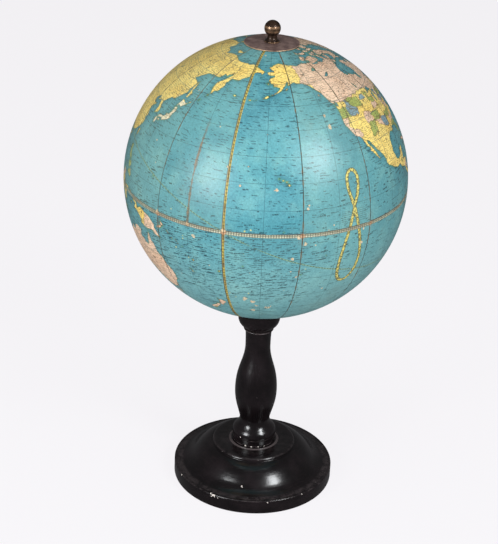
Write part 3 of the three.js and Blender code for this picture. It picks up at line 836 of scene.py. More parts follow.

# The outlines of the lands, each a closed ring of "longitude latitude" in degrees. They are drawn
# at the fineness of a 12 inch ball, and a longitude past 180 carries on eastward.
COASTS = {
    "north_america": """
        -168 65.6, -166.5 66.2, -163.8 66.6, -161.8 66.3, -162 66.9, -163.8 67.1, -166.2 68.3,
        -166.2 68.9, -163.2 69.3, -161.9 70.3, -158 70.8, -156.5 71.3, -153 70.9, -149.5 70.5, -145 70,
        -141 69.6, -137.3 69, -135 69.4, -131 70, -128 70.4, -127.5 69.9, -124.5 70, -124.4 69.4,
        -121 69.8, -116 69.2, -115 68.2, -110 68, -108 67.6, -108 68.5, -105.5 68.6, -102 67.8,
        -98.5 67.8, -98 68.4, -96 68.2, -95.8 67.3, -94.5 68, -94 69.2, -95.6 69.8, -96 71.2, -94.5 72,
        -92.2 71, -92 69.7, -90.5 69.4, -90.5 68.5, -88.2 68, -87.5 67.2, -86 66.5, -85.8 68.8,
        -84.5 69.8, -81.4 69.3, -81.2 68.5, -81.4 67.2, -84 66.3, -86 66.2, -87 65.4, -89 64.2, -93.5 62,
        -94.8 60.5, -94.7 58.8, -92.7 57, -90 57.1, -85 55.4, -82.3 55.1, -82.2 53, -81.2 52, -79.8 51.2,
        -78.8 52.4, -79.2 54.2, -77 55.8, -76.6 57.2, -78.5 58.8, -77.5 60, -77.8 62.3, -74 62.3,
        -71.5 61.2, -69.8 60, -69.6 58.9, -67.8 58.3, -66 58.8, -65 60, -64.5 60.3, -62.5 58.3,
        -61.5 56.6, -58 54.8, -56 53.3, -55.8 52.2, -58.5 51.3, -60.2 50.2, -66 50.2, -68 49.2,
        -70.5 47.3, -68.3 48.6, -65.5 49.2, -64.3 48.7, -65.5 47.6, -64.8 46.8, -63.5 45.9, -61.5 45.8,
        -60 46.9, -60 46, -61.5 45.1, -65.6 43.5, -66.2 44.3, -64.5 45.3, -67 45, -69 44, -70.7 43.1,
        -70.8 42.2, -70 41.8, -71.2 41.5, -73.8 40.7, -74 39.8, -75.3 38.9, -75.9 37.2, -76.2 38.6,
        -76.3 37, -75.6 35.3, -77.8 34, -79.2 33.2, -81.2 31.8, -81.4 30.2, -80.5 28.3, -80.1 26.5,
        -80.5 25.2, -81.6 25.9, -82.7 27.8, -82.8 29, -84 30, -85.3 29.7, -87 30.4, -89.2 30.3,
        -89.4 29.1, -91 29.2, -94 29.6, -95.5 28.8, -97.2 27.6, -97.3 26, -97.8 22.4, -96.2 19.2,
        -94.5 18.2, -92 18.6, -90.6 19.6, -90.3 21, -87 21.5, -87.5 20, -87.8 18.2, -88.3 16.5,
        -88.7 15.9, -86 15.9, -83.3 15, -83.6 12.5, -83.7 11, -82.2 9.1, -79.8 9.4, -77.5 8.6, -77.3 8,
        -78 7.5, -79.5 8.9, -80.4 7.4, -82.8 8.2, -83.7 9, -85.7 10.2, -87.3 12.8, -89.5 13.4,
        -92.2 14.6, -94.2 16.1, -96.5 15.7, -99.8 16.8, -102 17.9, -104.3 19.1, -105.6 20.4, -105.4 21.6,
        -106.4 23.2, -108.2 25.2, -109.4 26.4, -111 28, -112.4 29.6, -113.2 31.2, -114.7 31.7,
        -114.7 30.2, -112.8 28.2, -111.2 26, -110.3 24.3, -109.5 23.1, -110.1 22.9, -111.5 24.4,
        -112.2 25.9, -114 27, -114.9 27.8, -114.1 28.3, -115.7 29.8, -116.7 31.6, -117.2 32.7,
        -118.4 33.8, -120.5 34.4, -121.9 36.6, -122.5 37.8, -123.8 39.3, -124.3 40.4, -124.2 42,
        -124.1 44, -123.9 46.2, -124.7 48.4, -122.6 47.2, -122.8 49, -124.5 50, -127.5 51.2, -128.3 52.5,
        -130.2 54.4, -131.8 55.8, -133.5 57.2, -136 58.3, -139.7 59.6, -144 60, -146.5 60.9, -148.5 60.2,
        -151.8 59.2, -151.5 60.8, -150 61.2, -152.5 60.8, -153.8 59.2, -156.3 57.6, -158.5 56.1,
        -161.5 55.1, -163.2 54.7, -164.8 54.6, -163 55.1, -160.3 56.1, -157.7 57.6, -157.2 58.7,
        -158.8 58.5, -160 58.8, -162 58.7, -161.9 59.8, -164 60.2, -165.5 61.2, -166.1 61.8, -164.8 63,
        -161 63.5, -160.9 64.6, -163 64.5, -166.2 64.6
    """,
    "greenland": """
        -73 78.2, -68 80, -62 81.7, -55 82.3, -45 82.2, -32 83.6, -22 82.3, -14 81.5, -20 79.8, -19 77,
        -20 75, -22 73, -22 70.5, -25.5 70.2, -24 69, -32 68, -37 66, -40 65, -42.5 61.8, -44 60,
        -48.5 61.2, -51.5 64, -53.5 66.5, -53.8 68.5, -51 69.3, -54.5 70.8, -54.5 72.6, -58 75, -61 76,
        -68.5 76.1, -70.8 77.4
    """,
    "iceland": """
        -24 65.8, -22.3 66.4, -21 65.4, -18 66.1, -14.8 66.2, -13.6 65, -16 64.2, -18.8 63.4, -22.5 63.9,
        -22 64.6, -24 64.9
    """,
    "baffin": """
        -61.5 66.6, -67.5 69.2, -71.5 71.2, -77.5 72.8, -81 73.7, -85.5 73.8, -89.5 72.2, -88 70.6,
        -84.5 70, -79 69.9, -76.5 68.8, -73.5 68.2, -72.8 67.3, -73.8 65.8, -77.5 65.3, -78.2 64.4,
        -74 64.6, -71.5 63.6, -66 62, -64.8 62.6, -68.5 63.7, -65 64, -64.8 65.2, -67.5 66, -63.5 64.9,
        -61.8 66
    """,
    "victoria": """
        -117 70, -115.5 69.2, -113.5 68.5, -108.5 68.9, -105 69.1, -101.8 69.6, -102.5 71, -105 72.8,
        -108 73, -112 73, -118.5 72.3, -118.6 71.3, -115.5 70.6
    """,
    "banks": """
        -125.5 72.2, -123 71.3, -119 71.9, -115.5 73.3, -119 74.2, -124.2 74.4, -124 73.4
    """,
    "prince_of_wales": """
        -102 73, -98 71.4, -96.5 72.8, -98 74, -101 73.9
    """,
    "somerset": """
        -95.5 72.2, -91.8 72.7, -90.2 73.9, -94.5 74.1, -95.7 73.4
    """,
    "devon": """
        -92 76.5, -89.5 76.4, -80 75.6, -79.8 74.8, -90 74.6, -92 75.2
    """,
    "ellesmere": """
        -91.5 79.3, -89 77.3, -85 76.3, -78.5 76.3, -78 77.8, -75 78.6, -71 79.8, -65 81.3, -62 82.4,
        -70 83.1, -80 83, -90 81.8, -92 81, -86 80.3
    """,
    "axel_heiberg": """
        -95.5 80.6, -90 81.3, -88 79, -91 78.3, -95 79.4
    """,
    "melville": """
        -117 75.6, -113 74.5, -106 74.9, -106 76, -112 76.2, -116.5 76.3
    """,
    "prince_patrick": """
        -123 76, -119.5 75.8, -117 76.6, -122 77.1
    """,
    "bathurst": """
        -104 75.9, -98 75, -93.5 75, -96.5 76.3, -102.5 76.6
    """,
    "ringnes": """
        -105 78.4, -101 77.7, -97 78.8, -99.5 78.9, -104.5 79.2
    """,
    "southampton": """
        -87 63.7, -83 64.1, -80.5 63.9, -84 65.8, -86.3 66, -85.7 65.4
    """,
    "newfoundland": """
        -59.2 47.7, -56 46.9, -53.5 46.7, -53 48.5, -56 49.9, -55.6 51.5, -57.2 51, -58.5 49.2
    """,
    "vancouver_i": """
        -128.2 50.8, -125.4 50.2, -123.4 48.4, -125.3 48.8, -127.5 50
    """,
    "queen_charlotte": """
        -133 54.1, -131.7 54, -131.2 52.3, -132.5 53.2
    """,
    "kodiak": """
        -154.3 57.3, -152.3 58.4, -152.2 57.4, -154 56.9
    """,
    "st_lawrence": """
        -171.8 63.6, -169 63.4, -168.8 63.1, -171.5 63.3
    """,
    "nunivak": """
        -167.5 60.2, -165.8 60.3, -166 59.8
    """,
    "cuba": """
        -84.9 21.9, -82 23.1, -79 22.7, -75.5 20.9, -74.2 20.2, -77.6 19.9, -77.8 20.7, -81 21.9,
        -82.5 22.6
    """,
    "hispaniola": """
        -74.4 18.6, -73.3 19.9, -70 19.8, -68.4 18.7, -71 17.8, -72.5 18.2
    """,
    "jamaica": """
        -78.3 18.3, -76.3 18.1, -77 17.8
    """,
    "puerto_rico": """
        -67.2 18.4, -65.7 18.3, -67 17.9
    """,
    "south_america": """
        -77.4 8.6, -76.2 9.2, -75.5 10.6, -74.2 11.3, -71.7 12.3, -71.6 10.8, -70 12, -68.2 10.6,
        -64 10.2, -62 10.7, -60.8 9, -58.5 7.2, -55 5.9, -51.8 4.6, -50 1.8, -50.5 0, -48.2 -0.8,
        -44.5 -2.6, -40 -2.9, -37.2 -4.8, -35.3 -5.3, -34.9 -8.2, -37 -11.2, -38.9 -13.2, -39.2 -17.5,
        -40.9 -21.8, -42 -23, -44.7 -23.1, -46.5 -24.1, -48.6 -26.5, -48.8 -28.6, -50.3 -30.3,
        -53.3 -33.6, -55 -34.9, -58.3 -34.1, -57.2 -36, -57.6 -38.1, -62 -38.9, -62.3 -40.7, -65 -41,
        -63.8 -42.5, -65.3 -44.5, -67.5 -46.2, -65.8 -47.5, -69 -50.5, -68.4 -52.4, -70.8 -53.2,
        -74 -52.8, -75.2 -50, -75.5 -47, -73.8 -45, -72.8 -42.2, -73.8 -40, -73.4 -37.2, -71.6 -33,
        -71.5 -30, -70.3 -25.5, -70.2 -19.8, -71.5 -17.3, -76.2 -13.9, -78 -10.2, -79.8 -7.2, -81.2 -5.8,
        -81.3 -4.4, -79.9 -2.6, -80.8 -1.8, -80 0.3, -78.8 1.6, -77.3 3.8, -77.7 6.5, -77.3 7.8
    """,
    "tierra_del_fuego": """
        -68.6 -52.8, -65.2 -54.8, -68.5 -55.4, -72.5 -54.4, -71 -53.4
    """,
    "falklands": """
        -61 -51.6, -58 -51.5, -59 -52.3, -61 -52.1
    """,
    "africa": """
        -5.9 35.8, -2 35.2, 1 36.5, 5 36.8, 9.8 37.3, 11 36.8, 10.2 34.2, 13 32.8, 15.3 32.3, 19 30.3,
        20 32.3, 23 32.7, 25 31.6, 29 30.9, 31.5 31.5, 32.5 31.2, 32.6 29.9, 34 26.8, 35.6 23.9, 37.2 21,
        37.5 18.6, 39.5 15.5, 42.5 12.4, 43.3 11.5, 44.5 10.5, 51.2 11.9, 51 10.3, 48.5 6, 46 2.5, 42 -1,
        39.8 -4, 38.8 -6.5, 40.5 -10.7, 40.7 -15, 36.5 -18.5, 34.8 -20, 35.5 -23.8, 32.8 -25.8,
        32.5 -28.2, 30 -31.2, 27 -33.6, 22 -34.2, 19.8 -34.8, 18.3 -33.9, 18 -31, 16.5 -28.6, 15 -26.5,
        14.5 -22.5, 12.8 -19, 11.8 -16.5, 13.5 -12.3, 13.2 -8.8, 12 -5.5, 9.5 -2.5, 9.4 0.5, 9.8 3,
        8.5 4.7, 6 4.3, 4.4 6.3, 1 5.9, -2 4.8, -5 5.1, -7.6 4.4, -10.5 6.3, -13.2 8.9, -15 11,
        -16.8 12.5, -17.4 14.7, -16.4 16.5, -16.2 19.2, -17 21, -16 23.8, -14.5 26.3, -12.9 27.9,
        -10 29.4, -9.7 31.5, -6.9 34
    """,
    "madagascar": """
        49.3 -12, 50.4 -15.8, 49.5 -17.8, 47.2 -25, 44.8 -25.3, 43.4 -22.5, 44.4 -19.8, 44.2 -16.4,
        46.5 -15.7, 48 -13.6
    """,
    "eurasia": """
        -5.6 36, -6.4 36.8, -8.9 37, -9.4 38.8, -8.8 41.5, -9.2 43.1, -7.8 43.8, -1.8 43.4, -1.2 45.8,
        -2.5 47.3, -4.7 48.3, -1.6 48.7, -1.8 49.7, 0.2 49.6, 1.6 50.9, 4 51.8, 5 53.2, 8.5 53.8,
        8.2 55.5, 8.2 57, 10.6 57.7, 10.3 56, 9.8 54.9, 11 54.1, 14.2 53.9, 18.5 54.7, 21 55.3,
        21.5 57.5, 24 57.1, 23.6 59.2, 28 59.6, 30 59.9, 28 60.5, 23 59.9, 21.4 60.8, 21.5 63, 25.3 65,
        24 65.8, 22 65.5, 21.3 64.5, 17.5 62.3, 17.3 60.7, 18.8 59.8, 16.6 58, 16.4 56.5, 14.3 55.5,
        12.8 55.5, 11.2 59.1, 10.4 59.4, 8 58.1, 5.5 58.8, 5 61.5, 8.5 63.4, 12.5 66, 15 68.2, 19 69.9,
        25.7 71.1, 31 70.3, 33 69.4, 41 67, 40.5 66.4, 35 66.6, 32.7 67, 34.8 64.5, 38 64, 40.2 64.8,
        42 66.4, 44 66.1, 43.8 68.3, 46.5 67.8, 46 66.9, 53 68.7, 59 68.9, 61 69.7, 65 69, 68.5 68.5,
        67 69.5, 66.8 71, 69 72.9, 72.8 72.8, 71.8 70.8, 72.6 68.9, 73.8 67, 74 68.2, 74.5 70.5, 75 72.7,
        80.5 72.2, 81 73.4, 87 75, 92 76, 98 76.3, 104.3 77.7, 113 75.8, 113.5 74, 108 73.2, 113 73.7,
        118 73.2, 123 73, 127 72.5, 129 71, 132.5 71.7, 140 72.5, 147 72.3, 152 70.9, 160 69.7, 170 69.8,
        171 69, 176 69.8, 180 68.9, 185 67.4, 190 66.1, 187.5 64.4, 186 65.5, 183 65.4, 180.5 65,
        178.5 64.3, 177.5 62.6, 174.5 61.7, 170.5 60, 166 60.2, 164 59.8, 163.3 58, 162 57.8, 163 56.2,
        161.8 54.8, 160 53.2, 158.4 52.9, 156.7 51, 155.6 54, 155.8 57, 158 58, 161.8 60.3, 163.7 61.5,
        164.3 62.6, 160 61.8, 159.8 60.9, 156.7 61.6, 154.5 59.5, 151 59.2, 148.5 59.4, 142.5 59.2,
        135.4 54.8, 139 54.1, 141.3 53.2, 140.4 50, 140.3 48, 136.5 45, 135 43.4, 132 43.2, 130.7 42.3,
        127.5 39.8, 129.4 37, 129.2 35.3, 126.4 34.4, 126.7 37, 124.8 39.7, 121.3 38.8, 121.9 40.8,
        118 39.1, 119 37.3, 122.5 37, 119.3 35, 120.9 32.8, 121.8 31, 120.5 30.3, 121.9 29, 119.8 25.8,
        117 23.6, 114.2 22.3, 110.5 21.3, 109.8 20.4, 109.7 21.6, 106.7 20.6, 105.7 18.8, 108.8 15.4,
        109.3 12.5, 107 10.5, 105 8.7, 104.9 10.1, 102.3 12.1, 100.9 13.4, 99.9 11.8, 99.3 9.3,
        100.5 7.2, 102.2 6.2, 103.4 4.5, 104.2 1.4, 103.3 1.5, 101.3 3, 100.3 6, 98.4 8, 98.6 12,
        97.6 16.5, 95.3 15.8, 94.3 17, 94.2 19.5, 92 21.5, 90.5 22.3, 87 21.5, 86.5 20, 82.3 16.6,
        80.2 15.4, 80.3 13.2, 79.8 10.3, 77.6 8.1, 76.3 10, 74.7 13.5, 73 17.5, 72.7 20.5, 72.3 21,
        70.8 20.8, 69 22.4, 67.2 24.8, 66.5 25.4, 61.5 25.1, 57.3 25.8, 56.8 27.1, 54 26.6, 51.5 27.9,
        50.2 30, 48.5 30, 48 29.3, 50 26.8, 50.8 24.8, 51.5 25.6, 51.5 24.2, 54 24.2, 56.3 26.2,
        56.8 24.2, 59.8 22.5, 57.8 19, 55.2 17.4, 52 15.6, 45 12.8, 43.3 12.7, 42.7 16.2, 39 21, 35 28,
        34.6 29.5, 32.6 30, 32.5 31.2, 34.2 31.3, 35 32.8, 36 35.8, 36.2 36.7, 34 36.3, 32.3 36.1,
        30.6 36.8, 28 36.7, 26.3 38.3, 26.2 40, 29 41.1, 31.3 41.2, 35 42, 38.5 41, 41.5 41.6, 39 44,
        37.3 45.3, 38.2 46.9, 35 46.2, 36.5 45.3, 34 44.4, 32.5 45.4, 33.5 46.1, 31 46.6, 29.6 45.2,
        28 43.3, 28 42, 29 41.3, 26.7 40.5, 24 40.8, 22.8 40.4, 24 37.8, 22.9 36.5, 21.5 37, 20 39.5,
        19.4 41.8, 15.5 43.8, 13.7 45.7, 12.3 45.3, 12.5 44, 16 41.8, 18.5 40, 17 40.5, 16.6 38.2,
        15.7 38, 15.6 40, 12.3 41.7, 10.3 43.5, 8.8 44.4, 6.5 43.1, 3.2 43.3, 3.2 41.9, 0 40, -0.3 38.5,
        -2 36.8, -4.5 36.7
    """,
    "britain": """
        -5.6 50.1, -3.5 50.3, 1.3 51.2, 1.6 52.7, 0 53.5, -1.5 55, -2 57.6, -4 57.7, -3.1 58.6, -5 58.5,
        -6 56.6, -5 54.8, -3.2 54.9, -3 53.6, -4.5 53.3, -4.2 52.3, -5.2 51.9, -3 51.4
    """,
    "ireland": """
        -10 51.8, -6.3 52.2, -6 53.5, -5.6 54.6, -7.5 55.2, -8.5 54.4, -10 54.2, -9.2 53.2
    """,
    "sicily": """
        12.5 38, 15.5 38.2, 15.1 36.7
    """,
    "sardinia_corsica": """
        8.3 39, 9.7 39.2, 9.6 41.2, 9.4 43, 8.6 42.2, 8.2 40.8
    """,
    "crete": """
        23.6 35.5, 26.2 35.3, 24.8 34.9
    """,
    "cyprus": """
        32.4 34.9, 34.5 35.6, 33.6 34.8
    """,
    "novaya_zemlya": """
        51.5 71.5, 57 70.7, 55.5 73, 60 75.2, 68.8 76.8, 60 76.2, 55 74.8, 53 73
    """,
    "svalbard": """
        11 79.5, 17 80, 27 80.2, 22 78.3, 17 76.7, 14 77.7
    """,
    "franz_josef": """
        48 80.6, 62 81.2, 58 80
    """,
    "severnaya": """
        97 81, 102 79.2, 105 78.5, 100 77.9, 92 79.8
    """,
    "new_siberian": """
        138 75.9, 150 75.2, 142 73.6, 138 74.8
    """,
    "wrangel": """
        178.8 71.4, 182.5 71.3, 180 70.9
    """,
    "sakhalin": """
        142.4 54.3, 143.2 52, 143 49.3, 144.6 48.8, 142.8 46, 142 46, 142.1 49, 141.8 52
    """,
    "hokkaido": """
        140 41.5, 141.8 45.4, 145.3 43.7, 145 43.2, 143.2 42, 141 42.5, 140.9 41.8
    """,
    "honshu": """
        141.4 41.4, 142 39.5, 140.9 37.5, 140.8 35.7, 138.5 34.7, 136.8 34.3, 135.8 33.5, 135 34.6,
        132.5 34.2, 131 34, 132.6 35.5, 135.8 35.6, 136.8 37.3, 138.5 37.3, 139.8 39, 140 41
    """,
    "shikoku": """
        132.2 33.4, 134.6 34.2, 134 33.4, 132.9 32.8
    """,
    "kyushu": """
        129.8 33.4, 131 33.9, 131.9 32.8, 131.2 31.3, 130.2 31.3
    """,
    "taiwan": """
        121 25.2, 121.9 25, 120.9 22, 120.1 23.3
    """,
    "hainan": """
        108.7 19.4, 110.9 20, 110.4 18.8, 109 18.3
    """,
    "luzon": """
        120.5 18.5, 122.2 18.4, 121.6 16, 124 13, 123.8 12.7, 120.7 13.8, 119.9 16.3
    """,
    "visayas": """
        122 11.8, 125 12.5, 125.3 10.5, 123 9.3, 122 10.5
    """,
    "mindanao": """
        122 7, 123.5 8.5, 125.5 9.7, 126.5 7.2, 125.4 5.8, 124 7
    """,
    "palawan": """
        117.2 8.4, 119.5 11.3, 119.3 10.3
    """,
    "borneo": """
        109.1 1.7, 111 1.8, 113.2 3.5, 115.2 5.4, 116.9 7, 119.2 5.2, 117.8 4, 118.9 1, 117.5 0.5,
        116.2 -3.8, 114.5 -4, 111.5 -3.3, 110 -1.5, 109 0.3
    """,
    "sumatra": """
        95.3 5.6, 97.5 5.2, 100.3 2.7, 103.7 0, 106 -3, 105.8 -5.8, 104.6 -5.8, 101 -2.6, 98.7 1.6
    """,
    "java": """
        105.2 -6.8, 106.2 -5.9, 110.8 -6.5, 114.5 -7.7, 114.4 -8.7, 108.5 -7.7, 106.4 -7.4
    """,
    "celebes": """
        119.8 0.2, 121 1.2, 125.1 1.6, 124.3 0.4, 120.3 0.5, 121 -1, 123.4 -0.9, 121.5 -2, 122.8 -4.4,
        121.6 -4.7, 120.9 -2.9, 120.4 -5.6, 119.5 -5.4, 119 -2.8
    """,
    "timor": """
        123.6 -10.3, 127 -8.5, 125 -9.3
    """,
    "sundas": """
        116 -8.4, 122.8 -8.2, 119 -8.9
    """,
    "halmahera": """
        127.5 1, 128.6 1.5, 128 -0.8
    """,
    "ceram": """
        128 -3, 130.8 -3.2, 129 -3.4
    """,
    "new_guinea": """
        131 -0.8, 134 -0.9, 135 -3.3, 138 -1.8, 141 -2.6, 144.5 -3.8, 147.8 -6, 147.2 -6.8, 150.8 -10.3,
        147.8 -10.1, 146 -8.5, 143 -9.1, 141 -9.1, 138 -8.3, 138.5 -7, 135 -4.5, 133 -4, 132.8 -2.8,
        134 -2.2, 131.5 -1.5
    """,
    "new_britain": """
        148.4 -5.8, 152 -4.2, 151.5 -5.5, 149.5 -6.3
    """,
    "sri_lanka": """
        79.8 8, 80.3 9.7, 81.8 7.5, 80.6 6
    """,
    "australia": """
        113.7 -22.5, 114.2 -26, 115.7 -31.5, 115.1 -34.2, 118 -35, 121.5 -33.9, 124 -33, 126 -32.3,
        131 -31.5, 134.3 -32.8, 136 -34.8, 137.8 -32.6, 137.5 -35, 138.5 -34.8, 139.7 -36.5, 141.5 -38.4,
        143.6 -38.8, 146.3 -39, 147.8 -38, 150 -37.3, 151.2 -33.8, 153 -31, 153.5 -28.5, 153.1 -26,
        150.8 -23.5, 148.8 -20.3, 146.3 -18.8, 145.4 -15.5, 143.8 -14.4, 142.6 -10.7, 141.7 -13,
        140.9 -17.4, 139.3 -17.5, 135.5 -15, 136.8 -12.3, 132.8 -11.4, 130.8 -12.5, 129.5 -14.9,
        128.2 -14.8, 126 -14, 123.6 -17.2, 122.2 -18, 119 -20, 116.8 -20.7, 114.2 -21.9
    """,
    "tasmania": """
        144.7 -40.8, 148.2 -40.9, 147.8 -43.2, 146 -43.5
    """,
    "nz_north": """
        172.7 -34.5, 174.8 -36.7, 175.8 -36.6, 178.4 -37.7, 177 -39.4, 176.3 -40.8, 175.2 -41.6,
        173.9 -39.3, 174.8 -38.2, 174.3 -36.8
    """,
    "nz_south": """
        172.7 -40.6, 174.2 -41.5, 172.8 -43.3, 171 -44.9, 170.6 -45.9, 168.5 -46.6, 166.5 -45.8,
        168.4 -44, 171.2 -42.4
    """,
    "antarctica": """
        -180 -78.2, -165 -78.3, -158 -77, -147 -75.8, -136 -74.6, -125 -73.8, -111 -74.4, -100 -73,
        -90 -73, -81 -73.2, -75 -73.5, -68 -72, -67.5 -69, -66 -66.5, -60 -63.8, -57 -63.3, -60 -65.5,
        -63 -68, -61 -72, -60.5 -75, -62 -78, -50 -77.8, -36 -78, -28 -76, -20 -73.8, -12 -71.3, 0 -69.8,
        15 -69.7, 33 -68.8, 40 -69, 47 -67.6, 55 -66, 62 -67.5, 70 -68.2, 76 -69.4, 82 -67.2, 95 -66.4,
        110 -66.2, 125 -66.6, 142 -66.8, 155 -69, 165 -70.6, 170.5 -71.8, 165 -74.5, 164 -77.5, 171 -78,
        180 -78.2, 180 -95, -180 -95
    """,
}
LAKES = {
    "superior": "-92 46.7, -90 47.8, -88.2 48.9, -86 48.7, -84.7 47, -86.5 46.5, -88.2 47.3, -89.5 46.8",
    "michigan": "-87.8 42.5, -87.9 44.5, -86.5 45.8, -85 45.8, -86.3 43.8, -86.5 42, -87.3 41.7",
    "huron": "-84.2 46, -81 45.9, -80 44.6, -81.6 45, -81.7 43.3, -82.5 43.1, -83.5 44",
    "erie_ontario": "-83.3 41.8, -80.5 42.7, -79 43.2, -77 43.9, -76.3 43.5, -79 42.7, -81.5 41.5",
    "winnipeg": "-99 53.6, -97.9 54, -96.5 51.8, -96.9 50.5, -98.3 52",
    "slave": "-117 61.1, -112 62.8, -109.5 62.8, -113 61.2, -115.5 60.9",
    "bear": "-125 65.3, -121.5 66.8, -118 66.2, -121 65, -123 65.2",
    "athabasca": "-111.2 58.7, -106 59.4, -108.5 59.1",
    "caspian": """
        47 45.3, 49.5 46.4, 53 46.8, 53 45, 51 44.5, 50.5 42.5, 52.8 41.5, 53.9 39.5, 53.8 37, 51 36.7,
        49 37.6, 49.5 40.2, 47.7 42.7
    """,
    "aral": "58.5 45.9, 61.5 46.5, 60 44, 58.3 43.9",
    "baikal": "103.8 51.6, 107.5 52.8, 109.8 55.6, 108.8 54.8, 105 52",
    "victoria": "32 0.2, 34 0.2, 33.5 -2.3, 32 -2",
    "tanganyika": "29.2 -3.5, 29.9 -4, 31 -8.6, 30.5 -8.7, 29.3 -6",
    "titicaca": "-70 -15.4, -68.8 -16.4, -69.2 -16.5",
}
# Smaller islands are lozenges, each given by its middle, its length, its width and its slant.
SPECKS = {
    "aleutians": ((-166.5, 53.7, 1.7, 0.6, 35), (-168.4, 53.1, 1.1, 0.4, 35), (-172.6, 52.4, 0.8, 0.3, 10),
                  (-174.4, 52.1, 0.9, 0.3, 10), (-176.7, 51.8, 0.9, 0.4, 0), (178.6, 51.7, 0.8, 0.3, -20),
                  (173, 52.9, 0.8, 0.4, -20), (166, 55, 0.9, 0.3, -40)),
    "kurils": ((155.8, 50.4, 1.1, 0.5, 45), (152, 47.2, 0.8, 0.3, 45), (147.8, 45.1, 1.9, 0.5, 40),
               (145.8, 44.1, 1.1, 0.4, 45)),
    "hawaii": ((-155.5, 19.6, 1.1, 0.9, -35), (-156.4, 20.8, 0.7, 0.4, -20), (-158, 21.5, 0.6, 0.4, -30),
               (-159.5, 22.1, 0.5, 0.4, 0)),
    "melanesia": ((151.8, -3.5, 2.4, 0.4, -45), (155.2, -6.2, 1.8, 0.5, -45), (157.2, -7.9, 1.2, 0.4, -30),
                  (159.3, -8.4, 1.6, 0.4, -45), (160.2, -9.6, 1.3, 0.5, -20), (162, -10.5, 1.0, 0.4, -25),
                  (165.5, -21.3, 3.6, 0.5, -38), (166.9, -15.4, 1.0, 0.6, -65), (168.3, -17.6, 0.6, 0.4, 0),
                  (178, -17.9, 1.1, 0.9, 0), (179.4, -16.6, 1.2, 0.4, 30)),
    "polynesia": ((-172.4, -13.6, 0.6, 0.4, 0), (-149.4, -17.7, 0.5, 0.4, 0), (-139.5, -9.5, 0.5, 0.3, 40),
                  (-175.1, -21.2, 0.4, 0.3, 0), (-109.4, -27.1, 0.3, 0.2, 0)),
    "others": ((-91, -0.5, 0.9, 0.7, 0), (-25, 37.8, 0.7, 0.3, 0), (-16.5, 28.3, 0.9, 0.4, 20),
               (-24, 15.1, 0.6, 0.4, 0), (57.5, -20.3, 0.4, 0.4, 0), (55.5, -21.1, 0.5, 0.4, 0),
               (69.5, -49.4, 1.2, 0.9, 0), (-36.8, -54.4, 1.4, 0.5, -25), (-78.5, 26.5, 1.0, 0.4, -10),
               (-78, 24.5, 0.6, 1.2, 0), (144.8, 13.4, 0.4, 0.3, 45), (92.8, 12.5, 0.3, 1.6, 0),
               (115.1, -8.4, 0.7, 0.5, 0), (134.5, 7.4, 0.3, 0.5, 0), (-157, 1.9, 0.4, 0.3, 0)),
}
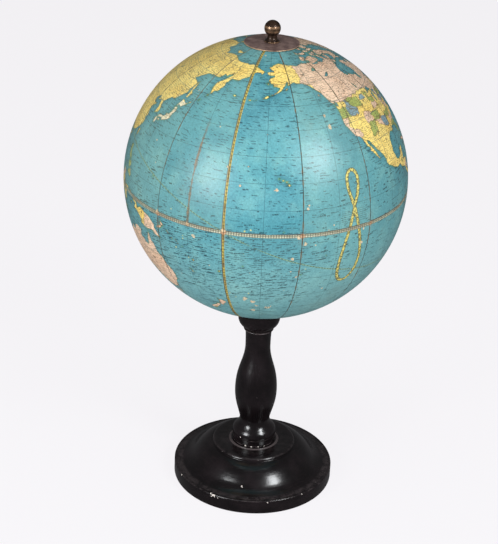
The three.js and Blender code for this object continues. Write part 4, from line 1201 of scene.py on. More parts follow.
# The map's four tints over its yellow ground, painted in this order, each as a rough ring whose
# outer side may run out to sea, because only its part on land shows.
TINTS = """
pink greenland: -75 77, -68 81, -58 84, -20 84, -8 80, -18 69, -38 58, -50 59, -58 70
pink canada: -141 85, -141 60.2, -137 58.9, -133.5 58, -130 55.8, -130.5 54.7, -134 54, -134 51,
     -125.5 48.4, -123 48.3, -123 49, -95 49, -89.5 48, -84.8 46.6, -82.5 45.3, -82.6 42, -79 42.7, -76 44,
     -71.5 45, -69.3 47.2, -67.8 47, -67 44.8, -65 42.5, -50 45, -52 60, -58 66, -70 77, -60 82.6, -60 86
green oregon: -126 42, -117 42, -117 46, -119 46, -121 45.6, -126 46.3
pink california: -126 42, -120 42, -120 39, -114.6 35, -114.7 32.7, -117.1 32.5, -121 32, -126 38
blue idaho: -117 42, -111 42, -111 44.5, -114.5 45.6, -116 48, -116 49, -117 49
green montana: -116 49, -116 48, -114.5 45.6, -111 44.5, -111 45, -104 45, -104 49
pink colorado: -109 37, -102 37, -102 41, -109 41
blue north_dakota: -104 46, -96.6 46, -97.2 49, -104 49
green new_mexico: -109 31.4, -103 32, -103 37, -109 37
green kansas: -102 37, -94.6 37, -94.8 40, -102 40
pink oklahoma: -103 36.5, -100 36.5, -100 34.5, -94.5 33.8, -94.5 37, -103 37
blue arkansas: -94.5 33, -91 33, -89.7 36, -94.5 36.5
pink iowa: -96.5 42.5, -95.8 40.6, -91.4 40.5, -90.2 41.8, -91.2 43.5, -96.5 43.5
green minnesota: -96.6 43.5, -91.2 43.5, -92.8 46, -89.5 48, -95 49.2, -97.2 49
green indiana: -87.5 38, -84.8 39, -84.8 41.8, -87.5 41.8
pink ohio: -84.8 39, -82 38.5, -80.5 40.5, -80.5 42, -84.8 41.7
green tennessee: -90 35, -84.3 35, -81.7 36.6, -89.5 36.6
pink georgia: -85.2 31, -82 30.4, -80.8 32, -83.2 34.9, -85.6 35
green florida: -87.6 31, -85 31, -82 30.4, -79 31, -79 24, -88 29
blue pennsylvania: -80.5 39.7, -75.6 39.7, -74.7 41.4, -79.7 42.2, -80.5 42
green new_york: -79.7 42.2, -75.3 42, -72 40.5, -73.3 45, -75 45, -79.5 43.4
pink virginia: -82.5 36.6, -75 36.5, -76 38.8, -78 39.6
pink new_england: -73.4 41, -69 41, -66.5 44.8, -67.8 47.2, -70.5 46
green guatemala: -92.3 14.5, -88.2 15.8, -89.2 17.8, -91.4 17.8, -92.3 16
pink nicaragua: -87.7 13, -83 10.9, -82.5 15, -85.8 14
pink cuba: -86 22, -82 24, -73.5 20.5, -77.5 19
green haiti: -74.9 18, -71.8 18, -71.8 20.2, -74.9 20.2
green colombia: -79 8.5, -77 1.5, -70 -4, -67.5 2, -70 7, -72.5 11, -74 13, -78 10
pink venezuela: -72.5 12.5, -72.5 8, -67.5 6.2, -67 1.2, -60 5, -60 9, -62 12
blue peru: -82 -4, -75 -1, -70 -4.3, -73 -9.5, -69 -12, -69.5 -18, -72 -19, -82 -8
green brazil: -70 -4.3, -67 1.2, -60 5, -60 1.5, -52 4, -49 2, -33 -6, -47 -28, -53.3 -34, -57.5 -30,
     -54 -26, -57.8 -22, -57.8 -18, -60 -14, -65.4 -10, -70.5 -11, -73 -9.5
pink bolivia: -69 -11, -65.4 -10, -60 -14, -57.8 -19, -62.5 -22, -67.5 -22.8, -69.5 -18
pink chile: -70.3 -18.3, -68 -24, -70.5 -36, -72 -44, -72 -51, -68.5 -52.4,
     -68.5 -56, -77 -56, -77 -40, -72 -18.3
blue uruguay: -58.3 -34, -57.6 -30.2, -53.3 -33.6, -54.5 -36
green paraguay: -62.5 -22, -58 -20, -54.5 -24.5, -57 -27.3
pink morocco: -13.5 27.7, -8.7 27.7, -2 32, -2 36, -6 36, -11 32
blue algeria: -8.7 27.3, 3 19.2, 12 23.5, 9 37.5, -2 36, -2 32
green libya: 9.5 30, 12 23.5, 25 22, 25 33.5, 11 34
pink egypt: 25 22, 37.5 22, 34.2 31.5, 25 33.5
pink sudan: 22 15.5, 24 8.5, 31 3.6, 36 4.5, 39 17, 37.5 22, 25 22, 24 19.5
blue french_west: -18 21.5, -18 12.4, -11 12, -8 7.5, 2 6, 3.5 12,
     14 13.5, 15.5 22, 3 19.2, -8.7 27.3, -13 21.5
pink gold_coast: -3.2 11, -3 4, 1.2 5.8, 0.3 11
pink nigeria: 2.7 6, 9 4, 14.5 13.3, 4 13.5
blue french_equator: 9 -3, 16 -5, 18.5 4.8, 27 5, 22 15.5, 24 19.5, 15.5 22, 14 13.5, 15.3 9, 9.5 2.2
green congo: 12 -6, 16 -5, 18.5 4.8, 27.4 5, 31 3.5, 29.2 -4.5,
     30.6 -8.5, 28.5 -9.5, 29.8 -13.3, 24 -11, 22 -7
pink ethiopia: 36 4.5, 42 4, 48 8, 43 11, 42.5 12.5, 38.5 18, 36.5 14, 34 8
pink kenya: 29.5 -1, 31 3.6, 42 4, 42 -2, 39 -5, 34 -1
green tanganyika: 29.5 -1, 34 -1, 39.5 -4.8, 41 -10.6, 35 -11.6, 30.6 -8.5
green angola: 11.5 -6, 22 -7, 24 -11, 22 -17.8, 11.7 -17.3
green mozambique: 35 -11.6, 41 -10.6, 41 -16, 36 -20, 33 -27, 31.5 -25, 32.7 -19, 30.3 -15.7, 34.5 -14
pink rhodesia: 22 -13, 29.8 -13.3, 33 -9.5, 34.5 -14, 30.3 -15.7, 32.7 -19, 31.3 -22.3, 25.5 -18, 22 -17.8
pink south_africa: 14 -29, 20 -25, 20 -28.5, 25.5 -25, 31.3 -22.3, 33.5 -27, 30 -35.5, 17 -35.5
blue madagascar: 42 -11, 52 -11, 52 -26, 42 -26
pink britain: -11 49.8, 2.5 51, 2.5 61, -11 61
pink france: -5.5 48.6, -1.8 43.3, 3 42.4, 7.6 43.8, 6.5 47.4, 8.1 49, 2.5 51, -2 50
green spain: -10 42, -9.5 36.8, -7.3 37, -7 42
green germany: 6.5 47.4, 13 47.6, 15 51, 14.3 54.2, 8.8 54.9, 6.8 53.5, 6 51
pink italy: 6.6 43.9, 10 46.4, 13.8 46.4, 12.5 44, 19 40, 16 36, 7 38
blue poland: 14.3 54.2, 15 51, 23 49, 23.6 54.5, 19 54.7
green norway: 4 57.5, 11.4 59, 12.3 61, 14.5 66, 20.5 69, 31.5 69.7, 31 72, 4 66
blue sweden: 11.4 59, 12.3 61, 14.5 66, 20.5 69, 24.2 65.8, 17.5 62, 19.5 59, 14.5 55, 12.4 55.3
pink finland: 20.5 69, 24.2 65.8, 21 60, 28 60.3, 30 63, 29 69.8
green balkans: 13.8 46, 19 46, 22.5 44.4, 28.6 43.7, 28 41.5, 22 40, 23.5 36, 19.5 40
pink turkey: 26 40, 29 41.3, 41.5 41.6, 44.5 39.5, 44 37, 36 36, 27 36
green iran: 44.5 39.5, 49 37.8, 54 37.3, 61 36, 61 25, 57 25, 49.5 30
pink arabia_coast: 43 12, 53 16.8, 60 22.5, 55.5 25, 52 19, 46 15.5, 42.8 16.3
blue iraq: 38.7 33.4, 42 37.1, 45.5 35.9, 48.3 30, 44 29.2
pink afghanistan_gap: 61.5 25, 61 29.5, 66.5 31.5, 70 34, 74.8 37, 78 35.5, 79 31, 88 27.3, 97 28, 98.5 24.5,
     97.5 21.8, 99 18, 99.5 11, 97.5 9.8, 93 16, 91 21, 80 5, 69 20
green siam: 98.2 18, 100.4 20.2, 105.5 15, 102.5 12.2, 100 12.6, 99.4 9.2, 98.6 7.8, 99 14.5
blue indochina: 102.2 22.4, 105.5 23.2, 108 21.5, 110 15, 109 11, 104.5 8.2, 102.5 12.2, 105.5 15, 100.4 20.2
pink malaya: 100 6.5, 102.3 6.2, 104.6 1, 103 1, 100 5
cream japan: 138 46, 130 34.8, 129 30, 141 33, 146.5 43.2, 141.9 46
pink borneo_north: 109.5 1.8, 114.8 2.3, 115.8 4.3, 117.7 4.2, 120 5.3, 117 8, 112 4.5
green philippines: 116.8 8.6, 119 5, 127.5 5, 124 19, 119 19
pink papua: 141 -2, 141 -9.8, 152 -12, 157 -7, 152 -1
pink australia: 112 -20, 131 -9.5, 142 -10.3, 155 -25, 150 -45, 112 -37
pink new_zealand: 165 -48, 180 -42, 180 -33, 170 -33
pink ceylon: 79 10, 82 8, 82 5.5, 79.3 6
cream antarctica: -180 -62, 180 -62, 180 -95, -180 -95
"""
TINT_NAMES = ("yellow", "pink", "green", "blue", "cream")
ISLAND_MARGIN = 6.0


def ring_of(text):
    """The points of an outline."""
    return [tuple(float(value) for value in pair.split()) for pair in text.split(",")]


def lozenge(longitude, latitude, length, width, slant):
    """A small island, as a ring of six points."""
    turn = math.radians(slant)
    ring = []
    for along_it, across_it in ((1, 0), (0.4, 1), (-0.5, 0.9), (-1, 0), (-0.4, -1), (0.5, -0.8)):
        east, north = along_it * length / 2, across_it * width / 2
        ring.append((
            longitude + (east * math.cos(turn) - north * math.sin(turn)) / math.cos(math.radians(latitude)),
            latitude + east * math.sin(turn) + north * math.cos(turn),
        ))
    return ring


def depth_inside(ring, longitude, latitude):
    """How far each place lies inside a ring, in degrees of arc: less than 0 outside it."""
    depth = np.full(longitude.shape, -ISLAND_MARGIN)
    points = np.array(ring)
    low, high = points.min(0), points.max(0)
    for lap in (-360, 0, 360):
        east = longitude + lap
        reach = ISLAND_MARGIN / np.maximum(np.cos(np.radians(latitude)), 0.15)
        near = (east > low[0] - reach) & (east < high[0] + reach)
        near &= (latitude > low[1] - ISLAND_MARGIN) & (latitude < high[1] + ISLAND_MARGIN)
        where = np.nonzero(near)[0]
        if len(where) == 0:
            continue
        x, y = east[where], latitude[where]
        squeeze = np.cos(np.radians(y))
        nearest = np.full(len(where), ISLAND_MARGIN**2)
        inside = np.zeros(len(where), bool)
        for (x0, y0), (x1, y1) in zip(points, np.roll(points, -1, axis=0)):
            dx, dy = (x1 - x0) * squeeze, y1 - y0
            px, py = (x - x0) * squeeze, y - y0
            share = np.clip((px * dx + py * dy) / np.maximum(dx * dx + dy * dy, 1e-12), 0, 1)
            nearest = np.minimum(nearest, (px - share * dx) ** 2 + (py - share * dy) ** 2)
            if y0 != y1:
                inside ^= ((y0 > y) != (y1 > y)) & (x < (x1 - x0) * (y - y0) / (y1 - y0) + x0)
        distance = np.sqrt(nearest)
        depth[where] = np.maximum(depth[where], np.where(inside, distance, -distance))
    return depth


tint_rings = [
    (line.split(":")[0].split()[0], ring_of(line.split(":")[1]))
    for line in TINTS.replace(",\n", ",").strip().splitlines()
]
land_rings = [ring_of(text) for text in COASTS.values()]
land_rings += [lozenge(*speck) for group in SPECKS.values() for speck in group]
lake_rings = [ring_of(text) for text in LAKES.values()]

# The figure-eight scale of the sun's height through the year, in the empty east of the ocean.
FIGURE_LONGITUDE = -128.2
FIGURE_MIDDLE, FIGURE_REACH = -0.85, 23.75
FIGURE_WIDTH, FIGURE_CROSSING = 11.6, 0.415
LOWER_LOOP = 0.51


def figure_eight():
    """Points on the figure, in degrees."""
    curve = []
    for i in range(240):
        angle = math.tau * i / 240
        spread = FIGURE_WIDTH * math.cos(angle) * (math.sin(angle) - FIGURE_CROSSING)
        if math.sin(angle) < FIGURE_CROSSING:
            spread *= LOWER_LOOP
        curve.append((FIGURE_LONGITUDE + spread, FIGURE_MIDDLE + FIGURE_REACH * math.sin(angle)))
    return curve


# Where the paper is worn through to the board: longitude, latitude and size of each patch.
WORN_PATCHES = (
    (-171.8, -32.3, 1.5), (-172.6, -34, 1.1), (-168.3, -34.7, 1.2), (-168.5, -42.6, 1.3),
    (-166.9, -38.1, 1.1), (-161.1, -39.3, 1.2), (-159.5, -38.4, 0.7), (167.9, -4, 0.8),
    (-148.5, -3.4, 0.7), (-123.2, -1.2, 0.9), (-153.3, -9.7, 0.7), (-151.1, -19, 0.7),
    (-151.5, -0.4, 0.8), (165.1, 0.5, 0.7), (179.9, 0.7, 0.8), (-160.4, 18.2, 1.0),
    (-133.2, 40.2, 0.9), (-134.2, 44.5, 0.7), (178.8, 25.3, 0.9), (-165, 38.5, 0.5),
    (-148.3, 10.6, 0.7), (-147.6, 12.2, 0.5), (-120.4, 3, 0.8), (150, 0.6, 0.9),
    (118.5, 3.4, 1.2), (93, -14, 1.5), (62, 8, 1.1), (60.5, -11, 0.9),
    (31, -21, 1.0), (14, 41, 0.8), (-31, 29, 1.4), (-28, 12, 0.8),
    (-61, 34, 1.1), (-89, -22, 1.3), (-92, -24.5, 0.9), (-44, -31, 1.0),
    (3, -28, 1.2), (76, -33, 1.0), (105, -41, 0.9),
)


def printed(mesh):
    """Gives each point of a gore what the map shows there: its place, and how far it is inside the
    land, inside each tint, inside a worn patch and from the figure-eight, in degrees."""
    places = np.empty(len(mesh.vertices) * 3)
    mesh.vertices.foreach_get("co", places)
    x, y, z = (places.reshape(-1, 3) - np.array((0, 0, equator_height))).T
    latitude = np.degrees(np.arctan2(z, np.hypot(x, y)))
    longitude = np.degrees(np.arctan2(x, -y))
    middle = round(float(np.median(longitude)) / GORE_DEGREES) * GORE_DEGREES
    longitude = (longitude - middle + 180) % 360 - 180 + middle + FRONT_MERIDIAN
    land = np.max([depth_inside(ring, longitude, latitude) for ring in land_rings], axis=0)
    for ring in lake_rings:
        land = np.minimum(land, -depth_inside(ring, longitude, latitude))
    tint = {name: np.full(len(land), -ISLAND_MARGIN) for name in TINT_NAMES}
    tint["yellow"] += 2 * ISLAND_MARGIN
    ashore = np.nonzero(land > -1.0)[0]
    for name, ring in tint_rings:
        depth = depth_inside(ring, longitude[ashore], latitude[ashore])
        for other in TINT_NAMES:
            if other == name:
                tint[other][ashore] = np.maximum(tint[other][ashore], depth)
            else:
                tint[other][ashore] = np.minimum(tint[other][ashore], -depth)
    figure = -np.abs(depth_inside(figure_eight(), longitude, latitude))
    patch = np.full(len(land), -9.0)
    for middle_longitude, middle_latitude, size in WORN_PATCHES:
        across = ((longitude - middle_longitude + 180) % 360 - 180) * np.cos(np.radians(latitude))
        patch = np.maximum(patch, size * 0.7 - np.hypot(across, latitude - middle_latitude))
    values = {"longitude": longitude, "latitude": latitude, "land": land, "figure": figure, "patch": patch}
    for name in TINT_NAMES[1:]:
        values[name] = tint[name]
    for name, value in values.items():
        layer = mesh.attributes.new(name, "FLOAT", "POINT")
        layer.data.foreach_set("value", value.astype(np.float32))


def attribute(tree, name):
    """A number that the mesh carries at each point."""
    node = tree.nodes.new("ShaderNodeAttribute")
    node.attribute_name = name
    return node.outputs["Fac"]


def ruled(tree, distance, half, soft=0.05):
    """A ruled line: 1 where the distance from its middle is less than half its width."""
    return between(tree, op(tree, "ABSOLUTE", distance), half + soft, max(half - soft, 0.0))


def every(tree, value, pitch, shift=0.0):
    """How far a value is from the nearest multiple of a pitch."""
    shares = op(tree, "ADD", op(tree, "DIVIDE", op(tree, "SUBTRACT", value, shift), pitch), 1000.5)
    return times(tree, op(tree, "SUBTRACT", op(tree, "FRACT", shares), 0.5), pitch)


def joined_up(tree, x, y, z=0.0):
    """Three numbers as one place."""
    node = tree.nodes.new("ShaderNodeCombineXYZ")
    for socket, value in zip(node.inputs, (x, y, z)):
        put(tree, socket, value)
    return node.outputs[0]


def tiny_print(tree, east, north, pitch, letter, crowding, seed):
    """Rows of unreadable small print: strokes gathered into words, in lines that pitch apart."""
    rows = op(tree, "DIVIDE", north, pitch)
    line = op(tree, "FLOOR", rows)
    middle = away_from(tree, op(tree, "FRACT", rows), 0.5)
    letters = joined_up(tree, op(tree, "DIVIDE", east, letter), times(tree, line, 7.3), seed)
    strokes = cloud(tree, letters, 1.0, 2)
    groups = joined_up(tree, op(tree, "DIVIDE", east, letter * 10), times(tree, line, 3.1), seed + 5)
    words = between(tree, op(tree, "ADD", cloud(tree, groups, 1.0, 1), crowding), 0.62, 0.65)
    drawn = times(tree, between(tree, strokes, 0.38, 0.5), words)
    return times(tree, drawn, between(tree, middle, 0.22, 0.1))


map_paper, tree, shader = finish_of("varnished_map_paper", 0.36)
where = place_in(tree)
longitude, latitude = attribute(tree, "longitude"), attribute(tree, "latitude")
squeeze = op(tree, "COSINE", op(tree, "RADIANS", latitude))
east = times(tree, longitude, squeeze)
land, figure = attribute(tree, "land"), attribute(tree, "figure")
drift = op(tree, "SUBTRACT", cloud(tree, where, 120, 3), 0.5)
jitter = op(tree, "SUBTRACT", cloud(tree, where, 420, 2), 0.5)
coast = op(tree, "MULTIPLY_ADD", jitter, 0.55, op(tree, "MULTIPLY_ADD", drift, 0.8, land))
broad = cloud(tree, where, 7, 2)
mottled = cloud(tree, where, 42, 4, 0.62)
grain = cloud(tree, where, 1500, 3, 0.7)
speckle = cloud(tree, where, 520, 3, 0.7)

# The sea: one printed blue, a deeper tint along the coasts, age in it, and a paler south that is partly
# faded paper and partly painted light from below.
sea = over(tree, between(tree, broad, 0.32, 0.68), ink(66, 134, 156), ink(92, 155, 172))
sea = stained(tree, sea, between(tree, mottled, 0.45, 0.75), 0.5, ink(118, 174, 182))
blots = cloud(tree, where, 21, 5, 0.72)
sea = stained(tree, sea, between(tree, blots, 0.5, 0.3), 0.4, ink(48, 112, 136))
sea = stained(tree, sea, between(tree, coast, -2.6, -0.1), 0.42, ink(50, 112, 134))
# Paler toward the south: faded paper, and painted light from below on the ball's lower half.
sea = stained(tree, sea, between(tree, latitude, 4, -34), 0.45, ink(132, 182, 194))
ground = between(tree, coast, -0.05, 0.05)
SHIFT_OF_GREEN = 0.5
off_register = between(tree, coast, -SHIFT_OF_GREEN, -SHIFT_OF_GREEN + 0.15)
fringe = times(tree, off_register, between(tree, drift, -0.06, 0.06))
sea = stained(tree, sea, fringe, 0.5, ink(92, 146, 84))

# The lands: yellow, with other states in pink, green, blue and cream.
tints = {name: attribute(tree, name) for name in TINT_NAMES[1:]}
shaded = over(tree, between(tree, mottled, 0.35, 0.7), ink(250, 222, 136), ink(238, 202, 112))
sway = op(tree, "MULTIPLY_ADD", op(tree, "SUBTRACT", mottled, 0.5), 7.0, times(tree, drift, 4.0))
wavy = {}
for name, pale, deep in (
    ("pink", ink(240, 206, 188), ink(226, 188, 168)),
    ("green", ink(176, 184, 106), ink(152, 168, 92)),
    ("blue", ink(142, 170, 188), ink(120, 152, 176)),
    ("cream", ink(240, 228, 204), ink(222, 210, 190)),
):
    wavy[name] = op(tree, "ADD", sway, tints[name])
    inside = between(tree, wavy[name], -0.05, 0.05)
    shaded = over(tree, inside, shaded, over(tree, between(tree, mottled, 0.35, 0.7), pale, deep))
frontier = 0.0
for name in TINT_NAMES[1:4]:
    frontier = either(tree, ruled(tree, wavy[name], 0.16, 0.1), frontier)
shaded = stained(tree, shaded, frontier, 0.68, ink(98, 72, 54))
hatching = between(tree, cloud(tree, where, 330, 3, 0.6), 0.54, 0.62)
mountains = times(tree, hatching, between(tree, mottled, 0.42, 0.56))
shaded = stained(tree, shaded, mountains, 0.42, ink(128, 92, 62))
rivers = ruled(tree, op(tree, "SUBTRACT", cloud(tree, where, 62, 4, 0.5), 0.5), 0.006, 0.006)
shaded = stained(tree, shaded, rivers, 0.45, ink(96, 112, 108))
place_names = tiny_print(tree, east, op(tree, "MULTIPLY_ADD", drift, 3.0, latitude), 0.8, 0.27, 0.17, 2.0)
towns = spots(tree, where, 190, 0.2, 0.35)
lettering = times(tree, either(tree, place_names, towns), 0.74)
shaded = over(tree, lettering, shaded, ink(64, 46, 36))
colour = over(tree, ground, sea, shaded)
shore = ruled(tree, coast, 0.1, 0.08)
colour = stained(tree, colour, shore, 0.75, ink(52, 64, 56))

# The net of lines, and the names and soundings in the sea.
net = ruled(tree, every(tree, latitude, 10), 0.1, 0.08)
meridian_off = times(tree, every(tree, longitude, 15), squeeze)
meridians = times(tree, ruled(tree, meridian_off, 0.1, 0.08), between(tree, latitude, 81, 80))
net = either(tree, net, meridians)
colour = stained(tree, colour, net, 0.72, ink(42, 86, 102))
near_shore = between(tree, coast, -9, -1.2)
islands = times(
    tree,
    between(tree, latitude, 8, 0), between(tree, latitude, -38, -28),
    between(tree, longitude, -142, -152),
)
crowd = either(tree, times(tree, near_shore, 0.09), times(tree, islands, 0.13))
open_sea = between(tree, ground, 0.6, 0.1)
uneven_rows = op(tree, "MULTIPLY_ADD", drift, 1.2, latitude)
soundings = tiny_print(tree, east, uneven_rows, 0.95, 0.26, crowd, 31.0)
slanting_rows = op(tree, "MULTIPLY_ADD", longitude, -0.12, latitude)
fewer = op(tree, "MULTIPLY_ADD", crowd, 0.6, -0.01)
sea_names = tiny_print(tree, east, slanting_rows, 1.7, 0.34, fewer, 47.0)
sea_print = times(tree, either(tree, soundings, sea_names), open_sea, 0.9)
colour = over(tree, sea_print, colour, ink(28, 60, 74))
fathoms = times(tree, spots(tree, where, 210, 0.16, 0.16), open_sea)
fathoms = times(tree, fathoms, op(tree, "MULTIPLY_ADD", crowd, 5.0, 0.3))
colour = over(tree, fathoms, colour, ink(24, 52, 66))
islets = times(tree, spots(tree, where, 160, 0.13, 0.12), islands, between(tree, land, -0.3, -0.8))
colour = over(tree, islets, colour, ink(196, 190, 120))

# The ecliptic: a dashed line with its ticks, tilted by 23.4 degrees over the equator.
SLANT = math.tan(math.radians(23.44))
sun_rise = times(tree, op(tree, "SINE", op(tree, "RADIANS", longitude)), SLANT)
sun_path = op(tree, "DEGREES", op(tree, "ARCTANGENT", sun_rise))
off_path = op(tree, "SUBTRACT", latitude, sun_path)
path_band = ruled(tree, off_path, 0.26, 0.08)
path_ticks = ruled(tree, every(tree, longitude, 1.3), 0.36, 0.1)
path_ticks = times(tree, path_ticks, ruled(tree, off_path, 0.2, 0.08))
path_wear = between(tree, mottled, 0.3, 0.48)
colour = over(tree, times(tree, path_band, path_wear, 0.6), colour, ink(140, 160, 110))
colour = over(tree, times(tree, path_ticks, path_wear, 0.9), colour, ink(58, 74, 56))


def scale_band(colour, off, run, half, paper_ink, edge_ink, tick, strength=1.0):
    """A graduated band: a ladder of degrees between ruled edges, with a line along its middle."""
    band = ruled(tree, off, half, 0.06)
    colour = stained(tree, colour, band, strength, paper_ink)
    rungs = ruled(tree, every(tree, run, tick), tick * 0.2, tick * 0.09)
    rungs = times(tree, rungs, ruled(tree, off, half * 0.8, 0.06), strength, 0.7)
    colour = over(tree, rungs, colour, edge_ink)
    rails = either(
        tree,
        ruled(tree, op(tree, "SUBTRACT", op(tree, "ABSOLUTE", off), half * 0.92), 0.08, 0.06),
        times(tree, ruled(tree, off, 0.04, 0.05), 0.7),
    )
    return over(tree, times(tree, rails, band, strength), colour, edge_ink)


# The figure-eight, a rope of yellow and dark beads, and the ruled table of its dates.
rope = between(tree, figure, -0.6, -0.5)
rope_beads = cloud(tree, where, 520, 1)
colour = over(tree, between(tree, figure, -0.82, -0.7), colour, ink(58, 70, 56))
beads = over(tree, between(tree, rope_beads, 0.45, 0.56), ink(224, 206, 112), ink(110, 104, 66))
colour = over(tree, rope, colour, beads)
table_east = op(tree, "SUBTRACT", longitude, FIGURE_LONGITUDE)
table_north = op(tree, "SUBTRACT", latitude, 5.0)
in_table = times(tree, ruled(tree, table_east, 6.0, 0.05), ruled(tree, table_north, 2.6, 0.05))
table_print = tiny_print(tree, east, latitude, 0.8, 0.17, 0.3, 77.0)
table_print = times(tree, table_print, in_table, between(tree, figure, -0.7, -1.0))
colour = stained(tree, colour, table_print, 0.7, ink(54, 72, 76))

# The equator, and the date line's meridian, as graduated bands.
colour = scale_band(colour, latitude, longitude, 0.74, ink(178, 180, 166), ink(44, 52, 54), 1.0)
off_date = times(tree, every(tree, longitude, 360, 180), squeeze)
colour = scale_band(colour, off_date, latitude, 0.42, ink(240, 214, 104), ink(104, 90, 44), 1.4, 0.95)
date_join = ruled(tree, op(tree, "ADD", off_date, 0.56), 0.17, 0.1)
colour = stained(tree, colour, date_join, 0.9, ink(76, 56, 40))

# Wear: the seams between the gores have opened, stained and chipped.
off_seam = times(tree, every(tree, longitude, GORE_DEGREES), squeeze)
seam_noise = cloud(tree, where, 60, 4, 0.65)
seam_wide = op(tree, "MULTIPLY_ADD", op(tree, "SUBTRACT", seam_noise, 0.42), 1.3, times(tree, drift, 0.3))
past_seam = op(tree, "SUBTRACT", op(tree, "ABSOLUTE", off_seam), either(tree, seam_wide, 0.05))
seam_open = between(tree, past_seam, 0.1, -0.06)
seam_dark = ruled(tree, off_seam, 0.1, 0.08)
near_equator = ruled(tree, latitude, 0.0, 7.0)
stains = times(tree, ruled(tree, off_seam, 0.0, 2.2), near_equator, between(tree, mottled, 0.36, 0.66))
colour = stained(tree, colour, stains, 0.5, ink(150, 110, 66))
seam_colour = over(tree, between(tree, speckle, 0.42, 0.6), ink(168, 138, 104), ink(96, 74, 56))
colour = stained(tree, colour, seam_open, 0.8, seam_colour)
colour = stained(tree, colour, seam_dark, 0.72, ink(58, 54, 52))
rubbed = between(tree, cloud(tree, where, 26, 3), 0.47, 0.55)
rubbed = times(tree, rubbed, ruled(tree, latitude, 0.7, 0.3))
rubbed_ink = over(tree, between(tree, speckle, 0.4, 0.6), ink(150, 122, 104), ink(92, 70, 58))
colour = stained(tree, colour, rubbed, 0.4, rubbed_ink)
join_off = op(tree, "MULTIPLY_ADD", drift, 0.5, op(tree, "SUBTRACT", latitude, 0.85))
half_join = times(tree, ruled(tree, join_off, 0.16, 0.1), between(tree, seam_noise, 0.36, 0.48))
colour = stained(tree, colour, half_join, 0.9, ink(74, 54, 46))
crossings = op(tree, "ADD", op(tree, "ABSOLUTE", off_seam), op(tree, "ABSOLUTE", latitude))
crossings = between(tree, crossings, 1.5, 0.8)
crossings = times(tree, crossings, between(tree, seam_noise, 0.4, 0.5))
colour = stained(tree, colour, crossings, 0.8, ink(186, 132, 100))

# Wear all over: chips down to the board, scuffs, specks of dirt, and yellowed varnish.
CHIPS = ((80, 0.12, 0.03), (170, 0.14, 0.05))
chipped = 0.0
for cells, size, share in CHIPS:
    chipped = either(tree, spots(tree, where, cells, size, share), chipped)
ragged_patch = op(tree, "MULTIPLY_ADD", jitter, 2.0, attribute(tree, "patch"))
ragged_patch = op(tree, "MULTIPLY_ADD", drift, 2.2, ragged_patch)
chipped = either(tree, chipped, between(tree, ragged_patch, -0.02, 0.12))
ragged_chips = times(tree, chipped, between(tree, speckle, 0.34, 0.44))
crease_off = times(tree, every(tree, longitude, 360, 165), squeeze)
crease_wide = op(tree, "MULTIPLY_ADD", op(tree, "SUBTRACT", seam_noise, 0.44), 2.6, 0.2)
past_crease = op(tree, "SUBTRACT", op(tree, "ABSOLUTE", crease_off), either(tree, crease_wide, 0.15))
crease = between(tree, past_crease, 0.12, -0.1)
crease = times(tree, crease, between(tree, latitude, -1.2, -0.4), between(tree, latitude, 44, 30))
crease_ink = over(tree, between(tree, speckle, 0.42, 0.56), ink(146, 108, 80), ink(70, 56, 46))
colour = stained(tree, colour, crease, 0.78, crease_ink)
board_ink = over(tree, between(tree, speckle, 0.46, 0.6), ink(226, 206, 180), ink(190, 150, 118))
colour = stained(tree, colour, ragged_chips, 0.85, board_ink)
dirt = spots(tree, where, 240, 0.12, 0.16)
colour = stained(tree, colour, dirt, 0.7, ink(58, 56, 48))
grime = times(tree, between(tree, cloud(tree, where, 17, 5, 0.7), 0.52, 0.78), 0.22)
colour = over(tree, grime, colour, ink(120, 116, 92))
white = ink(255, 255, 255)
for pattern, shade in ((grain, ink(228, 230, 232)), (between(tree, speckle, 0.3, 0.7), ink(214, 220, 224))):
    colour = over(tree, 1.0, colour, over(tree, pattern, shade, white), "MULTIPLY")
gore_number = op(tree, "FLOOR", op(tree, "DIVIDE", op(tree, "ADD", longitude, 720), GORE_DEGREES))
own = tree.nodes.new("ShaderNodeTexWhiteNoise")
own.noise_dimensions = "2D"
northern = op(tree, "GREATER_THAN", latitude, 0.0)
tree.links.new(joined_up(tree, gore_number, northern), own.inputs["Vector"])
faded = times(tree, own.outputs["Value"], 0.16)
colour = over(tree, faded, colour, ink(150, 170, 150))
colour = over(tree, 1.0, colour, ink(255, 250, 232), "MULTIPLY")
tree.links.new(colour, shader.inputs["Base Color"])
gloss = op(tree, "MULTIPLY_ADD", mottled, 0.22, 0.24)
gloss = op(tree, "MULTIPLY_ADD", either(tree, ragged_chips, times(tree, seam_open, 0.6)), 0.35, gloss)
tree.links.new(gloss, shader.inputs["Roughness"])
relief = op(tree, "MULTIPLY_ADD", speckle, 0.22, times(tree, mottled, 0.6))
relief = op(tree, "MULTIPLY_ADD", grain, 0.14, relief)
relief = op(tree, "MULTIPLY_ADD", ruled(tree, off_seam, 0.2, 0.3), 0.5, relief)
relief = op(tree, "MULTIPLY_ADD", ragged_chips, -0.6, relief)
relief = op(tree, "MULTIPLY_ADD", seam_dark, -0.8, relief)
bumped(tree, shader, relief, 0.0005)

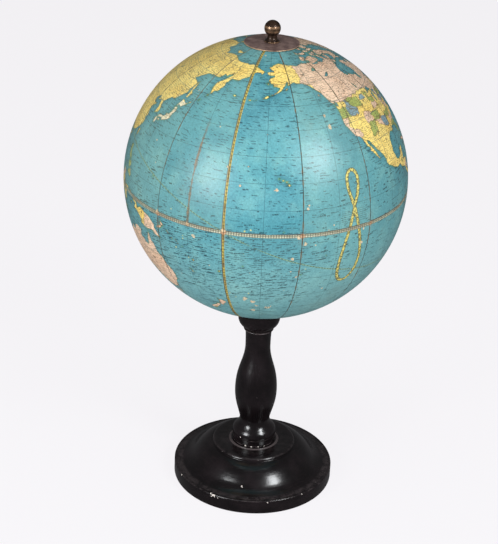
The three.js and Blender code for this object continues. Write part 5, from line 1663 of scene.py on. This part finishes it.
gore_items = gore_tree.interface.items_tree
gore_inputs = {item.name: item.identifier for item in gore_items if item.in_out == "INPUT"}
for side_name, side, opening in (("north", 1.0, NORTH_OPENING), ("south", -1.0, SOUTH_OPENING)):
    for number in range(1, GORES + 1):
        blank = bpy.data.meshes.new("blank_paper")
        cutter = linked("gore_cutter", blank, [])
        gore_rule = cutter.modifiers.new("paper_gore", "NODES")
        gore_rule.node_group = gore_tree
        for name, value in (
            ("Middle Longitude", FRONT_MERIDIAN + GORE_DEGREES * (number - 1)),
            ("Side", side),
            ("Opening", opening),
            ("Seed", float(number + (GORES if side < 0 else 0))),
            ("Paper", map_paper),
        ):
            gore_rule[gore_inputs[name]] = value
        thick = cutter.modifiers.new("thickness", "SOLIDIFY")
        thick.thickness = PAPER
        thick.offset = -1
        thick.use_even_offset = True
        piece_name = f"map_{side_name}_{number:02d}"
        ready = cutter.evaluated_get(bpy.context.evaluated_depsgraph_get())
        mesh = bpy.data.meshes.new_from_object(ready)
        mesh.name = piece_name
        bpy.data.objects.remove(cutter)
        printed(mesh)
        gore = linked(piece_name, mesh, [])
        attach(gore, "ball")
        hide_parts(f"gore_{side_name}_{number:02d}")

# ---- Top felt ---------------------------------------------------------------------------------
# A ring of the same green felt between the ball's top and the disc, so that the disc doesn't
# scratch the map when the ball is turned.

top_low, top_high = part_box("top_felt")
top_felt_in = 0.0092
top_profile = [
    (top_felt_in, top_low[2]),
    (top_high[0] - 0.0003, top_low[2]),
    *arc((top_high[0] - 0.0003, top_low[2] + 0.0003), 0.0003, -70, 0, 3),
    (top_high[0], top_high[2]),
    (top_felt_in, top_high[2]),
]
top_ring = turned("top_felt_ring", top_profile, [green_felt], 96)
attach(top_ring, "stand")
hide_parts("top_felt")

# ---- Polar disc -------------------------------------------------------------------------------
# A spun disc of brass with a dark bronze patina, thin at its bevelled rim, which covers the ball's
# opening. It is clamped under the knob. The patina is worn through to brass along the rim, and that
# pale rim is also a painted highlight.


def bronzed(name, dark, lit, roughness, rim, rim_half, rim_wear_and_highlight_ink):
    """Patinated bronze: brown with paler bloom, marks of turning, and a paler rim at a radius, worn and also
    a painted highlight.
    """
    material, tree, shader = finish_of(name, roughness, 0.55)
    where = place_in(tree)
    parts = parts_of(tree, where)
    radius = from_axis(tree, parts)
    bloom = cloud(tree, where, 130, 4, 0.65)
    fine = cloud(tree, where, 900, 3, 0.7)
    rings = cloud(tree, joined_up(tree, times(tree, radius, 900), times(tree, parts["Z"], 900)), 1.0, 2)
    colour = over(tree, between(tree, bloom, 0.34, 0.7), dark, lit)
    colour = stained(tree, colour, between(tree, rings, 0.5, 0.75), 0.18, lit)
    colour = stained(tree, colour, between(tree, fine, 0.62, 0.76), 0.4, ink(150, 122, 108))
    # A paler ring at the rim: brass worn through, and a painted rim highlight.
    wear_and_highlight = between(tree, away_from(tree, radius, rim), rim_half, 0.0)
    wear_and_highlight = times(tree, wear_and_highlight, between(tree, bloom, 0.3, 0.55))
    colour = over(tree, wear_and_highlight, colour, rim_wear_and_highlight_ink)
    tree.links.new(colour, shader.inputs["Base Color"])
    dull = op(tree, "MULTIPLY_ADD", bloom, 0.3, roughness - 0.15)
    tree.links.new(op(tree, "MULTIPLY_ADD", wear_and_highlight, -0.1, dull), shader.inputs["Roughness"])
    bumped(tree, shader, op(tree, "MULTIPLY_ADD", fine, 0.25, rings), 0.00007)
    return material


disc_low, disc_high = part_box("polar_disc")
disc_radius = disc_high[0]
rod_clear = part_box("rod")[1][0] + 0.0002
BROW = 0.006
disc_profile = [
    (rod_clear, disc_low[2]),
    (disc_radius - 0.0005, disc_low[2]),
    *arc((disc_radius - 0.0004, disc_low[2] + 0.0004), 0.0004, -80, 60, 6),
    *sweep(
        (disc_radius - 0.0004, disc_low[2] + 0.00085),
        (disc_radius - BROW * 0.35, disc_low[2] + 0.0011),
        (disc_radius - BROW * 0.7, disc_high[2] - 0.00005),
        (disc_radius - BROW, disc_high[2]),
        8,
    ),
    (rod_clear, disc_high[2]),
]
disc_colours = ink(110, 88, 84), ink(148, 124, 116)
# The disc's pale rim is worn brass and also a painted highlight along its edge.
disc_bronze = bronzed("dark_bronze_disc", *disc_colours, 0.5, disc_radius, 0.0009, ink(196, 164, 132))
disc = turned("spun_polar_disc", disc_profile, [disc_bronze], 160)
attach(disc, "stand")
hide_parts("polar_disc")

# ---- Knob -------------------------------------------------------------------------------------
# A ball-shaped knob turned from one bar of brass and patinated, with a foot, a collar and a neck.
# It screws down on the rod's thread and clamps the disc.

knob_low, knob_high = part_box("knob")
KNOB_FOOT = 0.0082
KNOB_COLLAR = 0.0066
KNOB_BALL = knob_high[0]
ball_middle = knob_high[2] - KNOB_BALL
knob_bore = rod_clear + 0.00005
bore_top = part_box("rod")[1][2] + 0.0004
foot_z = knob_low[2]
knob_profile = [
    (0, bore_top),
    (knob_bore, bore_top),
    (knob_bore, foot_z),
    (KNOB_FOOT - 0.0002, foot_z),
    *arc((KNOB_FOOT - 0.0005, foot_z + 0.0005), 0.0005, -60, 80, 6),
    (KNOB_COLLAR + 0.0003, foot_z + 0.00135),
    (KNOB_COLLAR, foot_z + 0.0016),
    *arc((KNOB_COLLAR - 0.0004, foot_z + 0.0021), 0.0004, 0, 90, 5),
    *sweep(
        (0.0061, foot_z + 0.0026),
        (0.0052, foot_z + 0.0036),
        (0.0049, foot_z + 0.0048),
        (0.00505, foot_z + 0.0058),
        10,
    ),
    *arc((0, ball_middle), KNOB_BALL, -52, 90, 40)[:-1],
    (0, knob_high[2]),
]
knob_colours = ink(34, 24, 18), ink(58, 42, 32)
knob_bronze = bronzed("dark_bronze_knob", *knob_colours, 0.3, KNOB_FOOT, 0.0005, ink(140, 110, 84))
knob = turned("ball_knob", knob_profile, [knob_bronze], 96)
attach(knob, "knob")
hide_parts("knob")
